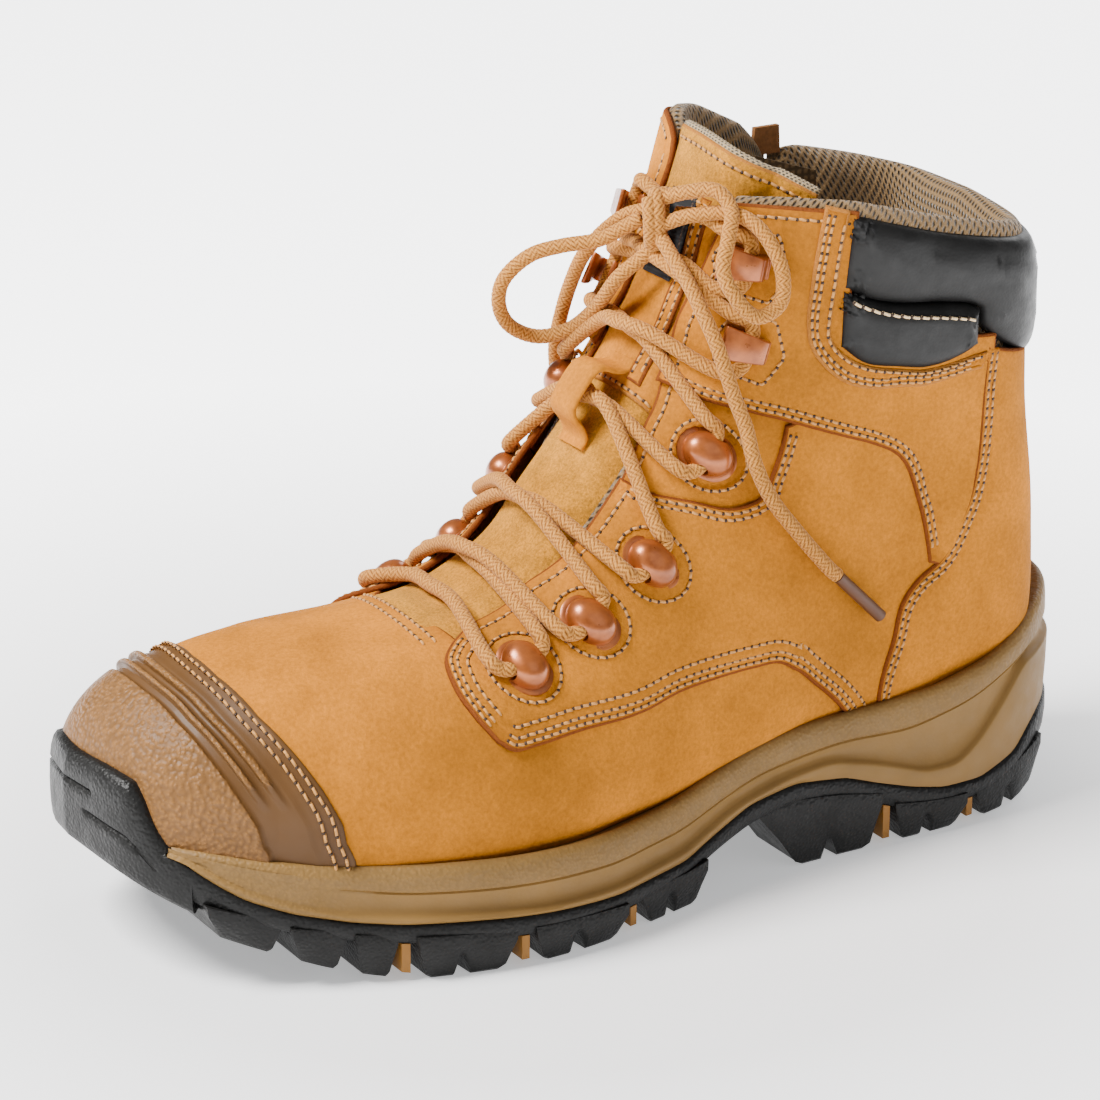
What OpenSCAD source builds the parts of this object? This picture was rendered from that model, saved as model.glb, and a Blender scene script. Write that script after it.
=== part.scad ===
// Steel toe work boot, left foot.
// Toe along +X, outer side of the foot along +Y, ground at z = 0, millimetres.

/* [Leather and lining] */
// Thickness of the upper leather
leather = 1.8; // [1.4:0.1:2.0]
// Thickness of the textile lining
lining = 0.9; // [0.6:0.1:1.0]
// Thickness of the steel toe cap
cap_steel = 1.7; // [1.4:0.1:1.8]
// Height by which overlays stand proud of the leather below
overlay_step = 0.6; // [0.2:0.1:0.8]
// Thickness of the tongue
tongue_thick = 3.6; // [2.5:0.1:4.5]
// Crown of the collar pads
pad_crown = 2.6; // [1.0:0.1:4.0]

/* [Sole] */
// Height of the toe guard's top edge
toe_guard_top = 55; // [48:1:58]
// Gap between the shank strip and the midsole
shank_clearance = 0.3; // [0.2:0.1:0.5]
// Width of the steel shank strip
shank_width = 16; // [12:1:22]
// Thickness of an amber rib between two lugs
rib_width = 2.2; // [1.6:0.1:2.8]

/* [Lace] */
// Diameter of the lace
lace_d = 4; // [3.4:0.1:4.2]
// Radius of a lace dome's foot
dome_r = 6.6; // [6:0.1:7]
// Width of a speed hook
hook_w = 9; // [8:0.5:10]

/* [Zip] */
// Distance between two teeth of one row
tooth_pitch = 3; // [2.6:0.1:3.4]
// Length of the pull
pull_length = 22; // [16:1:26]

/* [Hidden] */

wheat = [0.80, 0.58, 0.30];
wheat_dark = [0.72, 0.50, 0.25];
black = [0.10, 0.10, 0.10];
copper = [0.68, 0.42, 0.28];
cream = [0.80, 0.66, 0.44];

// ---- Surface of the upper ----
// One row per section, from the toe over the instep to the topline:
// front ridge x, front ridge z, back ridge x, back ridge z, centre y,
// half width outside, half width inside, where the section is widest (0 front, 1 back).
SECTIONS = [
  [148, 47, 148, 43, -14, 0, 0, 0.60],
  [146.5, 56, 147, 36, -14, 15, 13, 0.72],
  [141, 65, 143, 32, -12, 28, 23, 0.76],
  [131, 72, 132, 29, -10, 38, 31, 0.76],
  [115, 78, 116, 27, -7, 46, 37, 0.76],
  [94, 80, 96, 25, -4, 52, 42, 0.74],
  [70, 81, 72, 23, -1, 56, 45, 0.74],
  [47, 84, 44, 22, 0, 56, 45, 0.73],
  [30, 93, 14, 24, 0, 52, 43, 0.74],
  [16, 108, -20, 28, 0, 46, 41, 0.74],
  [3, 122, -58, 31, 0, 41, 39, 0.70],
  [-9, 138, -98, 32, 0, 37, 38, 0.62],
  [-18, 153, -127, 42, 0, 35, 37, 0.58],
  [-25, 167, -130, 80, 0, 34, 36, 0.56],
  [-30, 180, -126, 118, 0, 34, 36, 0.54],
  [-35, 193, -124, 163, 0, 36, 36, 0.52],
  [-40, 206, -121, 178, 0, 37, 37, 0.52]];
LAST = len(SECTIONS) - 1;
FRONT_FULLNESS = 2.2;
BACK_FULLNESS = 4;

function ramp(x, a, b) = min(max((x - a) / (b - a), 0), 1);
function unit(v) = v / norm(v);
function mix(a, b, f) = a + (b - a) * f;
function spline(a, b, c, d, f) = 0.5 * (2 * b + (c - a) * f + (2 * a - 5 * b + 4 * c - d) * f * f
  + (3 * b - a - 3 * c + d) * f * f * f);
function row_of(tab, i) = i < 0 ? 2 * tab[0] - tab[1]
  : i >= len(tab) ? 2 * tab[len(tab) - 1] - tab[len(tab) - 2] : tab[i];
// Smooth curve through the rows of a table; x runs from 0 to the last row's index.
function along(tab, x) = let (i = min(max(floor(x), 0), len(tab) - 2))
  spline(row_of(tab, i - 1), tab[i], tab[i + 1], row_of(tab, i + 2), x - i);

// The inner side is fuller in front of the ankle.
function front_power(s, t) = FRONT_FULLNESS + (t < 0 ? 1.8 * ramp(s, 8.5, 11) : 0);
function wrap(t) = t > 1 ? t - 2 : t < -1 ? t + 2 : t;

// Point of the upper: s counts sections, t runs from the front ridge (0) to the back ridge (1),
// positive on the outer side and negative on the inner side.
function skin(s, t) = let (
    r = along(SECTIONS, s), u = wrap(t), a = abs(u) * 180, c = cos(a), q = max(sin(a), 0),
    p = c > 0 ? front_power(s, u) : BACK_FULLNESS,
    k = pow(pow(abs(c), p) + pow(q, p), -1 / p),
    w = c > 0 ? r[7] * (1 - c * k) : r[7] - (1 - r[7]) * c * k)
  [mix(r[0], r[2], w), r[4] + (u > 0 ? r[5] : -r[6]) * q * k, mix(r[1], r[3], w)];
function s_dir(s, t) = unit(skin(s + 0.03, t) - skin(s - 0.03, t));
function normal(s, t) = let (q = max(s, 0.2))
  unit(cross(skin(q, t + 0.02) - skin(q, t - 0.02), s_dir(q, t)));

// Under the toe bumper the leather lies deeper, so that the bumper ends nearly flush.
function recess(s) = -1.5 * (1 - ramp(s, 4, 5));
function at(s, t, off) = skin(s, t) + normal(s, t) * (off + recess(s));

// Solid between two depths of the surface. uv(u, v) gives (s, t) on the unit square.
module shell(uv, nu, nv, outer, inner) {
  function depth(k, u, v) = k == 0 ? (is_function(outer) ? outer(u, v) : outer)
    : (is_function(inner) ? inner(u, v) : inner);
  function id(k, i, j) = (k * (nu + 1) + i) * (nv + 1) + j;
  points = [for (k = [0, 1], i = [0:nu], j = [0:nv])
    let (q = uv(i / nu, j / nv)) at(q[0], q[1], depth(k, i / nu, j / nv))];
  skins = [for (i = [0:nu - 1], j = [0:nv - 1], f = [
    [id(0, i, j), id(0, i + 1, j), id(0, i + 1, j + 1)], [id(0, i, j), id(0, i + 1, j + 1), id(0, i, j + 1)],
    [id(1, i, j), id(1, i + 1, j + 1), id(1, i + 1, j)], [id(1, i, j), id(1, i, j + 1), id(1, i + 1, j + 1)]]) f];
  sides = [for (i = [0:nu - 1], f = [
    [id(0, i, 0), id(1, i, 0), id(1, i + 1, 0)], [id(0, i, 0), id(1, i + 1, 0), id(0, i + 1, 0)],
    [id(0, i, nv), id(1, i + 1, nv), id(1, i, nv)], [id(0, i, nv), id(0, i + 1, nv), id(1, i + 1, nv)]]) f];
  ends = [for (j = [0:nv - 1], f = [
    [id(0, 0, j), id(1, 0, j + 1), id(1, 0, j)], [id(0, 0, j), id(0, 0, j + 1), id(1, 0, j + 1)],
    [id(0, nu, j), id(1, nu, j), id(1, nu, j + 1)], [id(0, nu, j), id(1, nu, j + 1), id(0, nu, j + 1)]]) f];
  polyhedron(points, concat(skins, sides, ends));
}

// Panel between two seams: low(t) and high(t) give s at each of the listed t.
module panel(ts, low, high, nu, outer, inner) {
  shell(function (u, v) let (t = ts[round(v * (len(ts) - 1))]) [mix(low(t), high(t), u), t],
    nu, len(ts) - 1, outer, inner);
}
// Even steps from a to b, the places where a seam bends between a and b, and their mirror.
function even(a, b, n) = [for (i = [0:n]) mix(a, b, i / n)];
function bends(table, a, b) = concat([a], [for (p = table) if (p[0] > a + 0.004 && p[0] < b - 0.004) p[0]], [b]);
function mirrored(ts) = [for (i = [len(ts) - 1:-1:0]) -ts[i]];
function both_sides(ts) = concat(mirrored(ts), [for (i = [1:len(ts) - 1]) ts[i]]);
function across_back(ts) = concat(ts, [for (i = [len(ts) - 2:-1:0]) 2 - ts[i]]);

// ---- Seams, as s for each t from the front ridge ----
GAP = 0.05;
SOLE_T = 0.82;
BUMPER_EDGE = [[0, 3.9], [0.10, 3.92], [0.22, 4.08], [0.32, 4.36], [0.39, 4.58], [0.46, 4.76],
  [0.62, 4.92], [SOLE_T, 5.05]];
VAMP_REAR = [[0, 6.5], [0.095, 6.55], [0.14, 6.5], [0.18, 6.33], [0.24, 6.28], [0.29, 6.36],
  [0.34, 6.51], [0.363, 6.72], [0.37, 7.1], [0.38, 7.6], [0.41, 8.36], [0.43, 8.9], [0.46, 9.64],
  [0.49, 9.95], [0.53, 10.02], [0.58, 10.08], [0.63, 10.13], [0.68, 10.17], [0.73, 10.18],
  [0.78, 10.2], [SOLE_T, 10.2]];
QUARTER_TOP = [[0.12, 9.75], [0.15, 9.82], [0.20, 9.94], [0.257, 10.27], [0.298, 10.52],
  [0.31, 10.75], [0.318, 11.3], [0.323, 11.9], [0.36, 12.19], [0.423, 12.47], [0.468, 12.54],
  [0.50, 12.27], [0.527, 12], [0.545, 11.64], [0.56, 11.25], [0.60, 10.95], [0.632, 10.7],
  [0.685, 10.5], [0.73, 10.47], [0.78, 10.42], [SOLE_T, 10.4]];
BAND_BOTTOM = [[0.105, 11.12], [0.195, 11.32], [0.263, 11.67], [0.30, 11.89], [0.358, 12.19],
  [0.423, 12.47], [0.468, 12.54], [0.50, 12.27], [0.527, 12.02], [0.545, 11.87], [0.56, 12.0],
  [0.583, 12.42], [0.61, 12.82], [0.63, 13.4], [0.645, 13.9]];
BAND_TOP = [[0.105, 14.35], [0.137, 14.42], [0.228, 14.65], [0.30, 14.8], [0.306, 13.95],
  [0.31, 13.2], [0.33, 12.9], [0.368, 12.85], [0.468, 13.3], [0.603, 13.85], [0.645, 14.0]];
BAND_TOP_INNER = [[0.105, 14.9], [0.15, 15.2], [0.20, 15.45], [0.30, 15.5], [0.42, 15.25], [0.46, 15.1]];
COUNTER_TOP = [[0.546, 11.72], [0.56, 11.99], [0.583, 12.42], [0.61, 12.82], [0.63, 13.4],
  [0.653, 14.08], [1, 14.2]];
COUNTER_BOTTOM = [[0.546, 11.6], [0.555, 11.29], [0.593, 10.97], [0.632, 10.7], [0.685, 10.52],
  [0.80, 10.46], [0.83, 11.6], [0.90, 11.9], [1, 12.05]];
PAD_BOTTOM = [[0.355, 13.2], [0.398, 13.22], [0.457, 13.45], [0.545, 13.77], [0.612, 14.02],
  [0.652, 14.17], [1, 14.25]];
PAD_MIDDLE = [[0.355, 13.92], [0.415, 14.05], [0.515, 14.27], [0.605, 14.42], [0.64, 14.45]];
PAD_TOP = [[0.355, 14.82], [0.453, 14.87], [0.58, 14.92], [0.80, 15.1], [1, 15.3], [1.2, 15.3],
  [1.38, 15.15]];
TOPLINE = [[0.13, 14.42], [0.228, 14.67], [0.31, 14.83], [0.355, 14.92], [0.453, 14.97],
  [0.58, 15.02], [0.80, 15.2], [1, 15.4], [1.2, 15.4], [1.38, 15.25], [1.46, 15.2], [1.54, 15.2],
  [1.58, 15.35], [1.70, 15.6], [1.80, 15.55], [1.87, 15.0]];

function seam(table) = function (t) lookup(t > 1 ? 2 - t : abs(t), table);
function outer_seam(table, gap) = function (t) lookup(abs(t), table) + gap;

// ---- Upper ----
module toe_bumper() {
  ts = both_sides([0, 0.1, 0.2, 0.28, 0.35, 0.42, 0.49, 0.56, 0.64, 0.73, SOLE_T]);
  color(wheat_dark) panel(ts, function (t) 0.25, seam(BUMPER_EDGE), 7, 1.6, 0.5);
}

module vamp() {
  ts = both_sides(bends(VAMP_REAR, 0, SOLE_T));
  color(wheat) panel(ts, function (t) 0.35, seam(VAMP_REAR), 14, 0, -leather);
}

module steel_toe_cap() {
  color("silver") panel(even(-0.8, 0.8, 18), function (t) 0.4, function (t) 3.2, 6,
    -leather - 0.5, -leather - 0.5 - cap_steel);
}

// The lining dips under the steel cap.
function vamp_lining_depth(s) = -leather - 0.5 - (cap_steel + 0.3) * (1 - ramp(s, 3.3, 4));
module vamp_lining() {
  ts = both_sides(bends(VAMP_REAR, 0, 0.8));
  depth = function (u, v) vamp_lining_depth(mix(0.6, 6.2, u));
  color("tan") panel(ts, function (t) 0.6, function (t) 6.2, 11, depth, function (u, v) depth(u, v) - lining);
}

module quarter(side) {
  knots = bends(concat([[0.16, 0]], [for (p = QUARTER_TOP) if (p[0] > 0.16) p]), 0.135, SOLE_T);
  color(wheat) panel(side > 0 ? knots : mirrored(knots),
    outer_seam(VAMP_REAR, GAP), outer_seam(QUARTER_TOP, -GAP), 10, overlay_step, overlay_step - leather);
}

module quarter_lateral() {
  quarter(1);
}

module quarter_medial_front() {
  difference() {
    quarter(-1);
    behind_zip();
  }
}

module quarter_medial_rear() {
  low = [[0.49, 12.6], [0.51, 12], [0.545, 11.8], [0.56, 12.1], [0.583, 12.5], [0.61, 12.9],
    [0.63, 13.5], [0.645, 13.95], [0.652, 14.1]];
  high = [[0.49, 15.1], [0.605, 15.1], [0.612, 14.08], [0.652, 14.08]];
  color(wheat) difference() {
    panel(mirrored(bends(low, 0.49, 0.648)), outer_seam(low, 0), outer_seam(high, 0), 10,
      overlay_step, overlay_step - leather);
    zip_slot(5.2);
  }
}

module inset(side) {
  low = outer_seam(QUARTER_TOP, GAP);
  high = outer_seam(BAND_BOTTOM, -GAP);
  ts = bends(QUARTER_TOP, 0.125, 0.312);
  color(wheat) panel(side > 0 ? ts : mirrored(ts), low, high, 5, 0, -leather);
}

module inset_lateral() {
  inset(1);
}

module inset_medial() {
  inset(-1);
}

module ankle_band_lateral() {
  ts = concat([0.11, 0.137, 0.165, 0.195, 0.228, 0.263, 0.298, 0.306], bends(BAND_BOTTOM, 0.31, 0.642));
  color(wheat) panel(ts, outer_seam(BAND_BOTTOM, GAP), outer_seam(BAND_TOP, -GAP), 6,
    overlay_step, overlay_step - leather);
}

module ankle_band_medial() {
  color(wheat) difference() {
    panel(mirrored(even(0.11, 0.455, 10)), outer_seam(BAND_BOTTOM, GAP), outer_seam(BAND_TOP_INNER, -GAP), 8,
      overlay_step, overlay_step - leather);
    behind_zip();
  }
}

module heel_counter() {
  ts = across_back([0.55, 0.56, 0.583, 0.60, 0.615, 0.632, 0.653, 0.685, 0.73, 0.77, 0.80, 0.83, 0.87, 0.91,
    0.955, 1]);
  color(wheat_dark) panel(ts, seam(COUNTER_BOTTOM), seam(COUNTER_TOP), 11, overlay_step, overlay_step - leather);
}

module counter_stiffener() {
  low = seam([[0.615, 11.9], [0.73, 12.1], [0.77, 12.6], [0.91, 12.7], [1, 12.7]]);
  ts = across_back([0.615, 0.653, 0.685, 0.73, 0.77, 0.80, 0.83, 0.87, 0.91, 0.955, 1]);
  color("dimgray") panel(ts, low, function (t) 13, 6, -leather - 1.2, -leather - 1.9);
}

// Strip that frames the collar pad: outer edge and inner edge as (s, t).
STRIP_OUTER = [[14.78, 0.308], [13.95, 0.310], [13.25, 0.314], [12.98, 0.335], [12.95, 0.368],
  [13.1, 0.41], [13.36, 0.468], [13.65, 0.54], [13.9, 0.603], [14.03, 0.64]];
STRIP_INNER = [[14.82, 0.348], [14, 0.346], [13.5, 0.342], [13.2, 0.345], [13.12, 0.36],
  [13.15, 0.40], [13.38, 0.457], [13.70, 0.545], [13.95, 0.612], [14.08, 0.642]];
module collar_strip() {
  n = len(STRIP_OUTER) - 1;
  color(wheat) shell(function (u, v) mix(along(STRIP_INNER, u * n), along(STRIP_OUTER, u * n), v), 20, 2,
    overlay_step + 0.2, overlay_step + 0.2 - leather);
}

function crown(v) = pow(max(sin(180 * v), 0), 0.6);
module collar_pad_lower() {
  color(black) panel(even(0.357, 0.636, 8), outer_seam(PAD_BOTTOM, GAP), outer_seam(PAD_MIDDLE, -2.5 * GAP), 4,
    function (u, v) 0.4 + pad_crown * crown(u), -leather);
}

module collar_pad_upper() {
  low = function (t) t < 0.64 ? lookup(t, PAD_MIDDLE) : lookup(t > 1 ? 2 - t : t, PAD_BOTTOM) + GAP;
  color(black) panel(even(0.357, 1.375, 24), low, function (t) lookup(t, PAD_TOP), 4,
    function (u, v) 0.4 + pad_crown * crown(u), -leather);
}

// Depth of the shaft's lining: close to the leather at the front, deeper behind the padding.
function lining_depth(s, t) = -leather - 0.7 - 1.6 * ramp(s, 9.6, 10.6) * ramp(abs(wrap(t)), 0.25, 0.33);
LINING_BOTTOM = [[0.13, 6.62], [0.18, 6.42], [0.29, 6.3], [0.80, 6.3], [0.83, 11.6], [0.90, 11.95], [1, 12.1]];
module shaft_lining() {
  low = seam(LINING_BOTTOM);
  high = function (t) lookup(t, TOPLINE) - 0.14;
  ts = across_back([0.135, 0.18, 0.23, 0.29, 0.34, 0.39, 0.44, 0.50, 0.56, 0.62, 0.68, 0.72, 0.76, 0.80,
    0.83, 0.87, 0.91, 0.955, 1]);
  depth = function (u, v) let (t = ts[round(v * (len(ts) - 1))]) lining_depth(mix(low(t), high(t), u), t);
  color("tan") difference() {
    panel(ts, low, high, 16, depth, function (u, v) depth(u, v) - lining);
    zip_slot(10.2);
  }
}

module ankle_padding() {
  color("khaki") panel(even(0.345, 0.585, 6), function (t) 12.75, function (t) 14.7, 6,
    -leather - 0.3, -leather - 2.0);
}

// Rolled edge in two lengths, which leave room for the zip.
module collar_binding() {
  color("tan") for (span = [[0.175, 1.475, 38], [1.59, 1.83, 10]])
    tube([for (i = [0:span[2]]) let (t = mix(span[0], span[1], i / span[2]))
      at(lookup(t, TOPLINE) + 0.02, t, -2.4)], 1.4);
}

// ---- Tongue ----
TONGUE_HALF = 0.16;
TONGUE_HEAD = 15.25;
function tongue_depth(t) = mix(-0.3, -leather - lining - 1.0, ramp(abs(t), 0.085, 0.125));
module tongue_layer(half, foot, head, nu, nv, top, bottom) {
  depth = function (v) tongue_depth(mix(-half, half, v));
  shell(function (u, v) [mix(foot, head, u), mix(-half, half, v)], nu, nv,
    function (u, v) depth(v) + top, function (u, v) depth(v) + bottom);
}

module tongue() {
  color(wheat) tongue_layer(TONGUE_HALF, 6.62, TONGUE_HEAD, 22, 12, 0, -tongue_thick);
}

module tongue_lining() {
  color("tan") tongue_layer(TONGUE_HALF, 6.7, TONGUE_HEAD - 0.05, 22, 12,
    -tongue_thick - 0.1, -tongue_thick - 0.1 - lining);
}

module tongue_gusset() {
  color(wheat_dark) for (side = [-1, 1])
    shell(function (u, v) [mix(6.8, 11.2, u), side > 0 ? mix(0.163, 0.25, v) : mix(-0.25, -0.163, v)], 10, 2,
      -leather - lining - 2.1, -leather - lining - 2.9);
}

module tongue_patch() {
  color(black) shell(function (u, v) [mix(12.6, 14.2, u), mix(-0.07, 0.07, v)], 4, 4, 0.45, -0.2);
}

// Leather bridge on the tongue that the lace runs through.
KEEPER_S = 10.45;
module lace_keeper() {
  arch = [[-13, 0], [-13, 1.3], [-9.5, 1.4], [-7, 10.2], [7, 10.2], [9.5, 1.4], [13, 1.3], [13, 0],
    [8.6, 0], [6.1, 8.8], [-6.1, 8.8], [-8.6, 0]];
  color(wheat) multmatrix(placed(frame_at(KEEPER_S, 0, 0.2))) translate([0, 5, 0]) rotate([90, 0, 0])
    linear_extrude(10) polygon(arch);
}

// ---- Frames for hardware ----
// Position, direction along the throat towards the ankle, sideways, outward normal.
function frame_at(s, t, off) = let (n = normal(s, t), d = s_dir(s, t), a = unit(d - n * (d * n)))
  [at(s, t, off), a, cross(n, a), n];
function placed(f) = [[f[1][0], f[2][0], f[3][0], f[0][0]], [f[1][1], f[2][1], f[3][1], f[0][1]],
  [f[1][2], f[2][2], f[3][2], f[0][2]], [0, 0, 0, 1]];

// Places as (s, t) on the outer side; the inner ones mirror them.
DOMES_OUTER = [[7.16, 0.238], [8.26, 0.252], [9.34, 0.267], [10.82, 0.24]];
DOMES_INNER = [[7.1, -0.22], [8.15, -0.22], [9.2, -0.22], [10.6, -0.21]];
HOOKS_OUTER = [[12.39, 0.223], [13.57, 0.195]];
HOOKS_INNER = [[12.3, -0.20], [13.6, -0.18]];
// Insets lie lower than the overlays round them.
function seat(s) = s > 9.8 && s < 11.2 ? 0.1 : overlay_step + 0.1;
TUNNEL_Z = 2.8;

module dome() {
  sphere_r = 7;
  height = 6.4;
  difference() {
    union() {
      cylinder(r = dome_r + 0.9, h = 0.8, $fn = 40);
      translate([0, 0, height - sphere_r]) sphere(r = sphere_r, $fn = 40);
    }
    translate([-10, -10, -10]) cube([20, 20, 10]);
    translate([-10, 0, TUNNEL_Z]) rotate([0, 90, 0]) cylinder(d = lace_d + 1.1, h = 20, $fn = 32);
  }
}

module eyelet_domes_lateral() {
  color(copper) for (e = DOMES_OUTER) multmatrix(placed(frame_at(e[0], e[1], seat(e[0])))) dome();
}

module eyelet_domes_medial() {
  color(copper) for (e = DOMES_INNER) multmatrix(placed(frame_at(e[0], e[1], seat(e[0])))) dome();
}

// Side view of a speed hook; the throat is towards -x of the polygon.
module hook() {
  points = [[-6, 0], [6, 0], [6, 0.8], [-2.6, 0.8], [-2.9, 1.3], [-2.9, 4.6], [-2.4, 5.1], [5, 5.1],
    [6, 5.6], [5.6, 6.3], [-3, 6.6], [-4.4, 5.8], [-4.8, 4.6], [-4.8, 0.8], [-6, 0.8]];
  translate([-hook_w / 2, 0, 0]) rotate([90, 0, 90]) linear_extrude(hook_w) polygon(points);
}

module lace_hooks_lateral() {
  color(copper) for (e = HOOKS_OUTER)
    multmatrix(placed(frame_at(e[0], e[1], overlay_step + 0.1))) mirror([0, 1, 0]) hook();
}

module lace_hooks_medial() {
  color(copper) for (e = HOOKS_INNER) multmatrix(placed(frame_at(e[0], e[1], overlay_step + 0.1))) hook();
}

// Flat washers between leather and tongue, under each dome and hook.
module eyelet_washers() {
  color("silver") for (e = concat(DOMES_OUTER, DOMES_INNER, HOOKS_OUTER, HOOKS_INNER))
    multmatrix(placed(frame_at(e[0], e[1], 0))) translate([0, 0, -leather - lining - 1.8])
      cylinder(d = 4.4, h = 0.5, $fn = 24);
}

// ---- Lace ----
lace_r = lace_d / 2;
function ridge_side(f, side) = side > 0 ? f[2] : -f[2];
// Way round one dome or hook, from its lower end to its upper end.
function round_eyelet(e, lift, shift) = let (f = frame_at(e[0], e[1], lift), g = ridge_side(f, sign(e[1])))
  [f[0] - 8 * f[1] + 7.5 * g + 3.4 * f[3], f[0] - 6.5 * f[1] + (1.5 + shift) * g + TUNNEL_Z * f[3],
   f[0] + shift * g + TUNNEL_Z * f[3],
   f[0] + 6.5 * f[1] + (1.5 + shift) * g + TUNNEL_Z * f[3], f[0] + 8 * f[1] + 7.5 * g + 3.4 * f[3]];
function up(e) = round_eyelet(e, seat(e[0]), 0);
function down(e) = let (p = up(e)) [for (i = [len(p) - 1:-1:0]) p[i]];
function hook_up(e) = round_eyelet(e, overlay_step + 0.1, -1);
function hook_down(e) = let (p = hook_up(e)) [for (i = [len(p) - 1:-1:0]) p[i]];
// Crossing of the throat from side a to the other side, at height h over the ridge.
function across(s0, s1, side, h) = [at(mix(s0, s1, 0.3), 0.075 * side, mix(3.6, h, 0.7)),
  at(mix(s0, s1, 0.5), 0, h), at(mix(s0, s1, 0.7), -0.075 * side, mix(3.6, h, 0.7))];
DO = DOMES_OUTER;
DI = DOMES_INNER;
KNOT = [-19, 2, 178];
LACED = concat(
  [[-23, 5, 180], [-28, 12, 180]], hook_down(HOOKS_OUTER[1]),
  across(13.1, 12.7, 1, 3), hook_down(HOOKS_INNER[0]),
  across(11.8, 11.4, -1, 3), down(DO[3]),
  across(10.45, 10.45, 1, 2.2), down(DI[2]),
  across(8.9, 8.6, -1, 7), down(DO[1]),
  across(7.8, 7.5, 1, 7), down(DI[0]),
  across(6.9, 6.9, -1, 2.8), up(DO[0]),
  across(7.5, 7.8, 1, 2.8), up(DI[1]),
  across(8.6, 8.9, -1, 2.8), up(DO[2]),
  across(10.4, 10.4, 1, 6.2), up(DI[3]),
  across(11.4, 11.8, -1, 7.2), hook_up(HOOKS_OUTER[0]),
  across(12.7, 13.1, 1, 7.2), hook_up(HOOKS_INNER[1]),
  [[-26, -8, 181], [-22, -2, 180]]);
LACED_STEPS = 2;

// Free parts of the lace, from the knot outwards.
LOOP_LEFT = [[-17, -2, 178], [-13, -6, 174.5], [-8, -10, 171], [0, -16, 169], [7, -21, 166], [12, -26, 159],
  [12, -29, 151], [8, -30, 144], [0, -29, 140], [-6, -22, 143], [-9, -13, 151], [-11, -5, 161],
  [-15, 0, 167], [-19, 3, 171.5]];
LOOP_RIGHT = [[-20, 4, 184.5], [-23, 10, 187], [-28, 17, 188.5], [-30, 22, 184], [-26, 27, 178], [-22, 31, 171],
  [-24, 34, 164], [-30, 35, 158], [-37, 35, 160], [-39, 34, 166], [-38, 32, 173], [-35, 27, 180],
  [-31, 20, 182.5], [-24, 12, 181], [-19, 6, 178]];
TAIL_LATERAL = [[-18, 5, 175], [-18, 11, 171], [-19, 18, 165], [-20, 24, 158], [-22, 28, 150], [-24, 30, 142],
  [-26, 32, 134], [-28, 34, 127], [-29, 37, 118], [-33, 39, 108], [-40, 41, 98], [-49, 42, 87], [-53, 42, 83]];
TAIL_MEDIAL = [[-19, -2, 180], [-16, -9, 177], [-13, -16, 171], [-11, -23, 163], [-11, -30, 153],
  [-11, -35, 143], [-11, -38, 134], [-13, -41, 125], [-16, -43, 116], [-20, -45, 106], [-23, -46, 96]];

// Tube along a polyline, with sections that turn as little as they can.
module tube(path, r, sides = 8) {
  n = len(path) - 1;
  dir = [for (i = [0:n]) unit(path[min(i + 1, n)] - path[max(i - 1, 0)])];
  across0 = unit(cross(dir[0], abs(dir[0][2]) < 0.8 ? [0, 0, 1] : [1, 0, 0]));
  side_dir = [for (i = 0, a = across0; i <= n; i = i + 1, a = i <= n ? unit(a - dir[i] * (a * dir[i])) : a) a];
  points = [for (i = [0:n], k = [0:sides - 1])
    path[i] + r * (cos(360 * k / sides) * side_dir[i] + sin(360 * k / sides) * cross(dir[i], side_dir[i]))];
  walls = [for (i = [0:n - 1], k = [0:sides - 1], f = [
    [i * sides + k, (i + 1) * sides + (k + 1) % sides, i * sides + (k + 1) % sides],
    [i * sides + k, (i + 1) * sides + k, (i + 1) * sides + (k + 1) % sides]]) f];
  polyhedron(points, concat(walls, [[for (k = [0:sides - 1]) k]],
    [[for (k = [sides - 1:-1:0]) n * sides + k]]));
}
function smooth(path, steps) = [for (i = [0:(len(path) - 1) * steps]) along(path, i / steps)];

module lace_run() {
  color(cream) tube(smooth(LACED, LACED_STEPS), lace_r);
}

module lace_knot() {
  color(cream) translate(KNOT) {
    rotate([0, 60, 20]) rotate_extrude($fn = 32) translate([3.4, 0]) circle(r = 2.1, $fn = 16);
    sphere(r = 3.2, $fn = 24);
  }
}

module bow_loop_left() {
  color(cream) tube(smooth(LOOP_LEFT, 2), lace_r);
}

module bow_loop_right() {
  color(cream) tube(smooth(LOOP_RIGHT, 2), lace_r);
}

module lace_tail_lateral() {
  color(cream) tube(smooth(TAIL_LATERAL, 1), lace_r);
}

module lace_tail_medial() {
  color(cream) tube(smooth(TAIL_MEDIAL, 1), lace_r);
}

// Wrapped tip at the end of a tail, in line with its last stretch.
AGLET_LENGTH = 20;
module aglet(path) {
  n = len(path) - 1;
  d = unit(path[n] - path[n - 1]);
  color("saddlebrown") translate(path[n] + d * 0.2) rotate([0, acos(d[2]), atan2(d[1], d[0])])
    cylinder(r = lace_r - 0.2, h = AGLET_LENGTH, $fn = 24);
}

module aglet_lateral() {
  aglet(TAIL_LATERAL);
}

module aglet_medial() {
  aglet(TAIL_MEDIAL);
}

// ---- Zip on the inner side ----
ZIP_X = -76;
ZIP_LOW = 66;
ZIP_HIGH = 180;
TAPE_Y = -33.6;
module zip_slot(half) {
  translate([ZIP_X - half, -60, ZIP_LOW - 3]) cube([2 * half, 36, 180]);
}

module behind_zip() {
  translate([ZIP_X - 120, -60, ZIP_LOW - 3]) cube([120 + 5.2, 60, 180]);
}

module zip_tape() {
  color("olive") for (side = [-1, 1])
    translate([ZIP_X + (side > 0 ? 0.6 : -9.6), TAPE_Y - 0.4, ZIP_LOW]) cube([9, 0.8, ZIP_HIGH - ZIP_LOW]);
}

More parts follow.
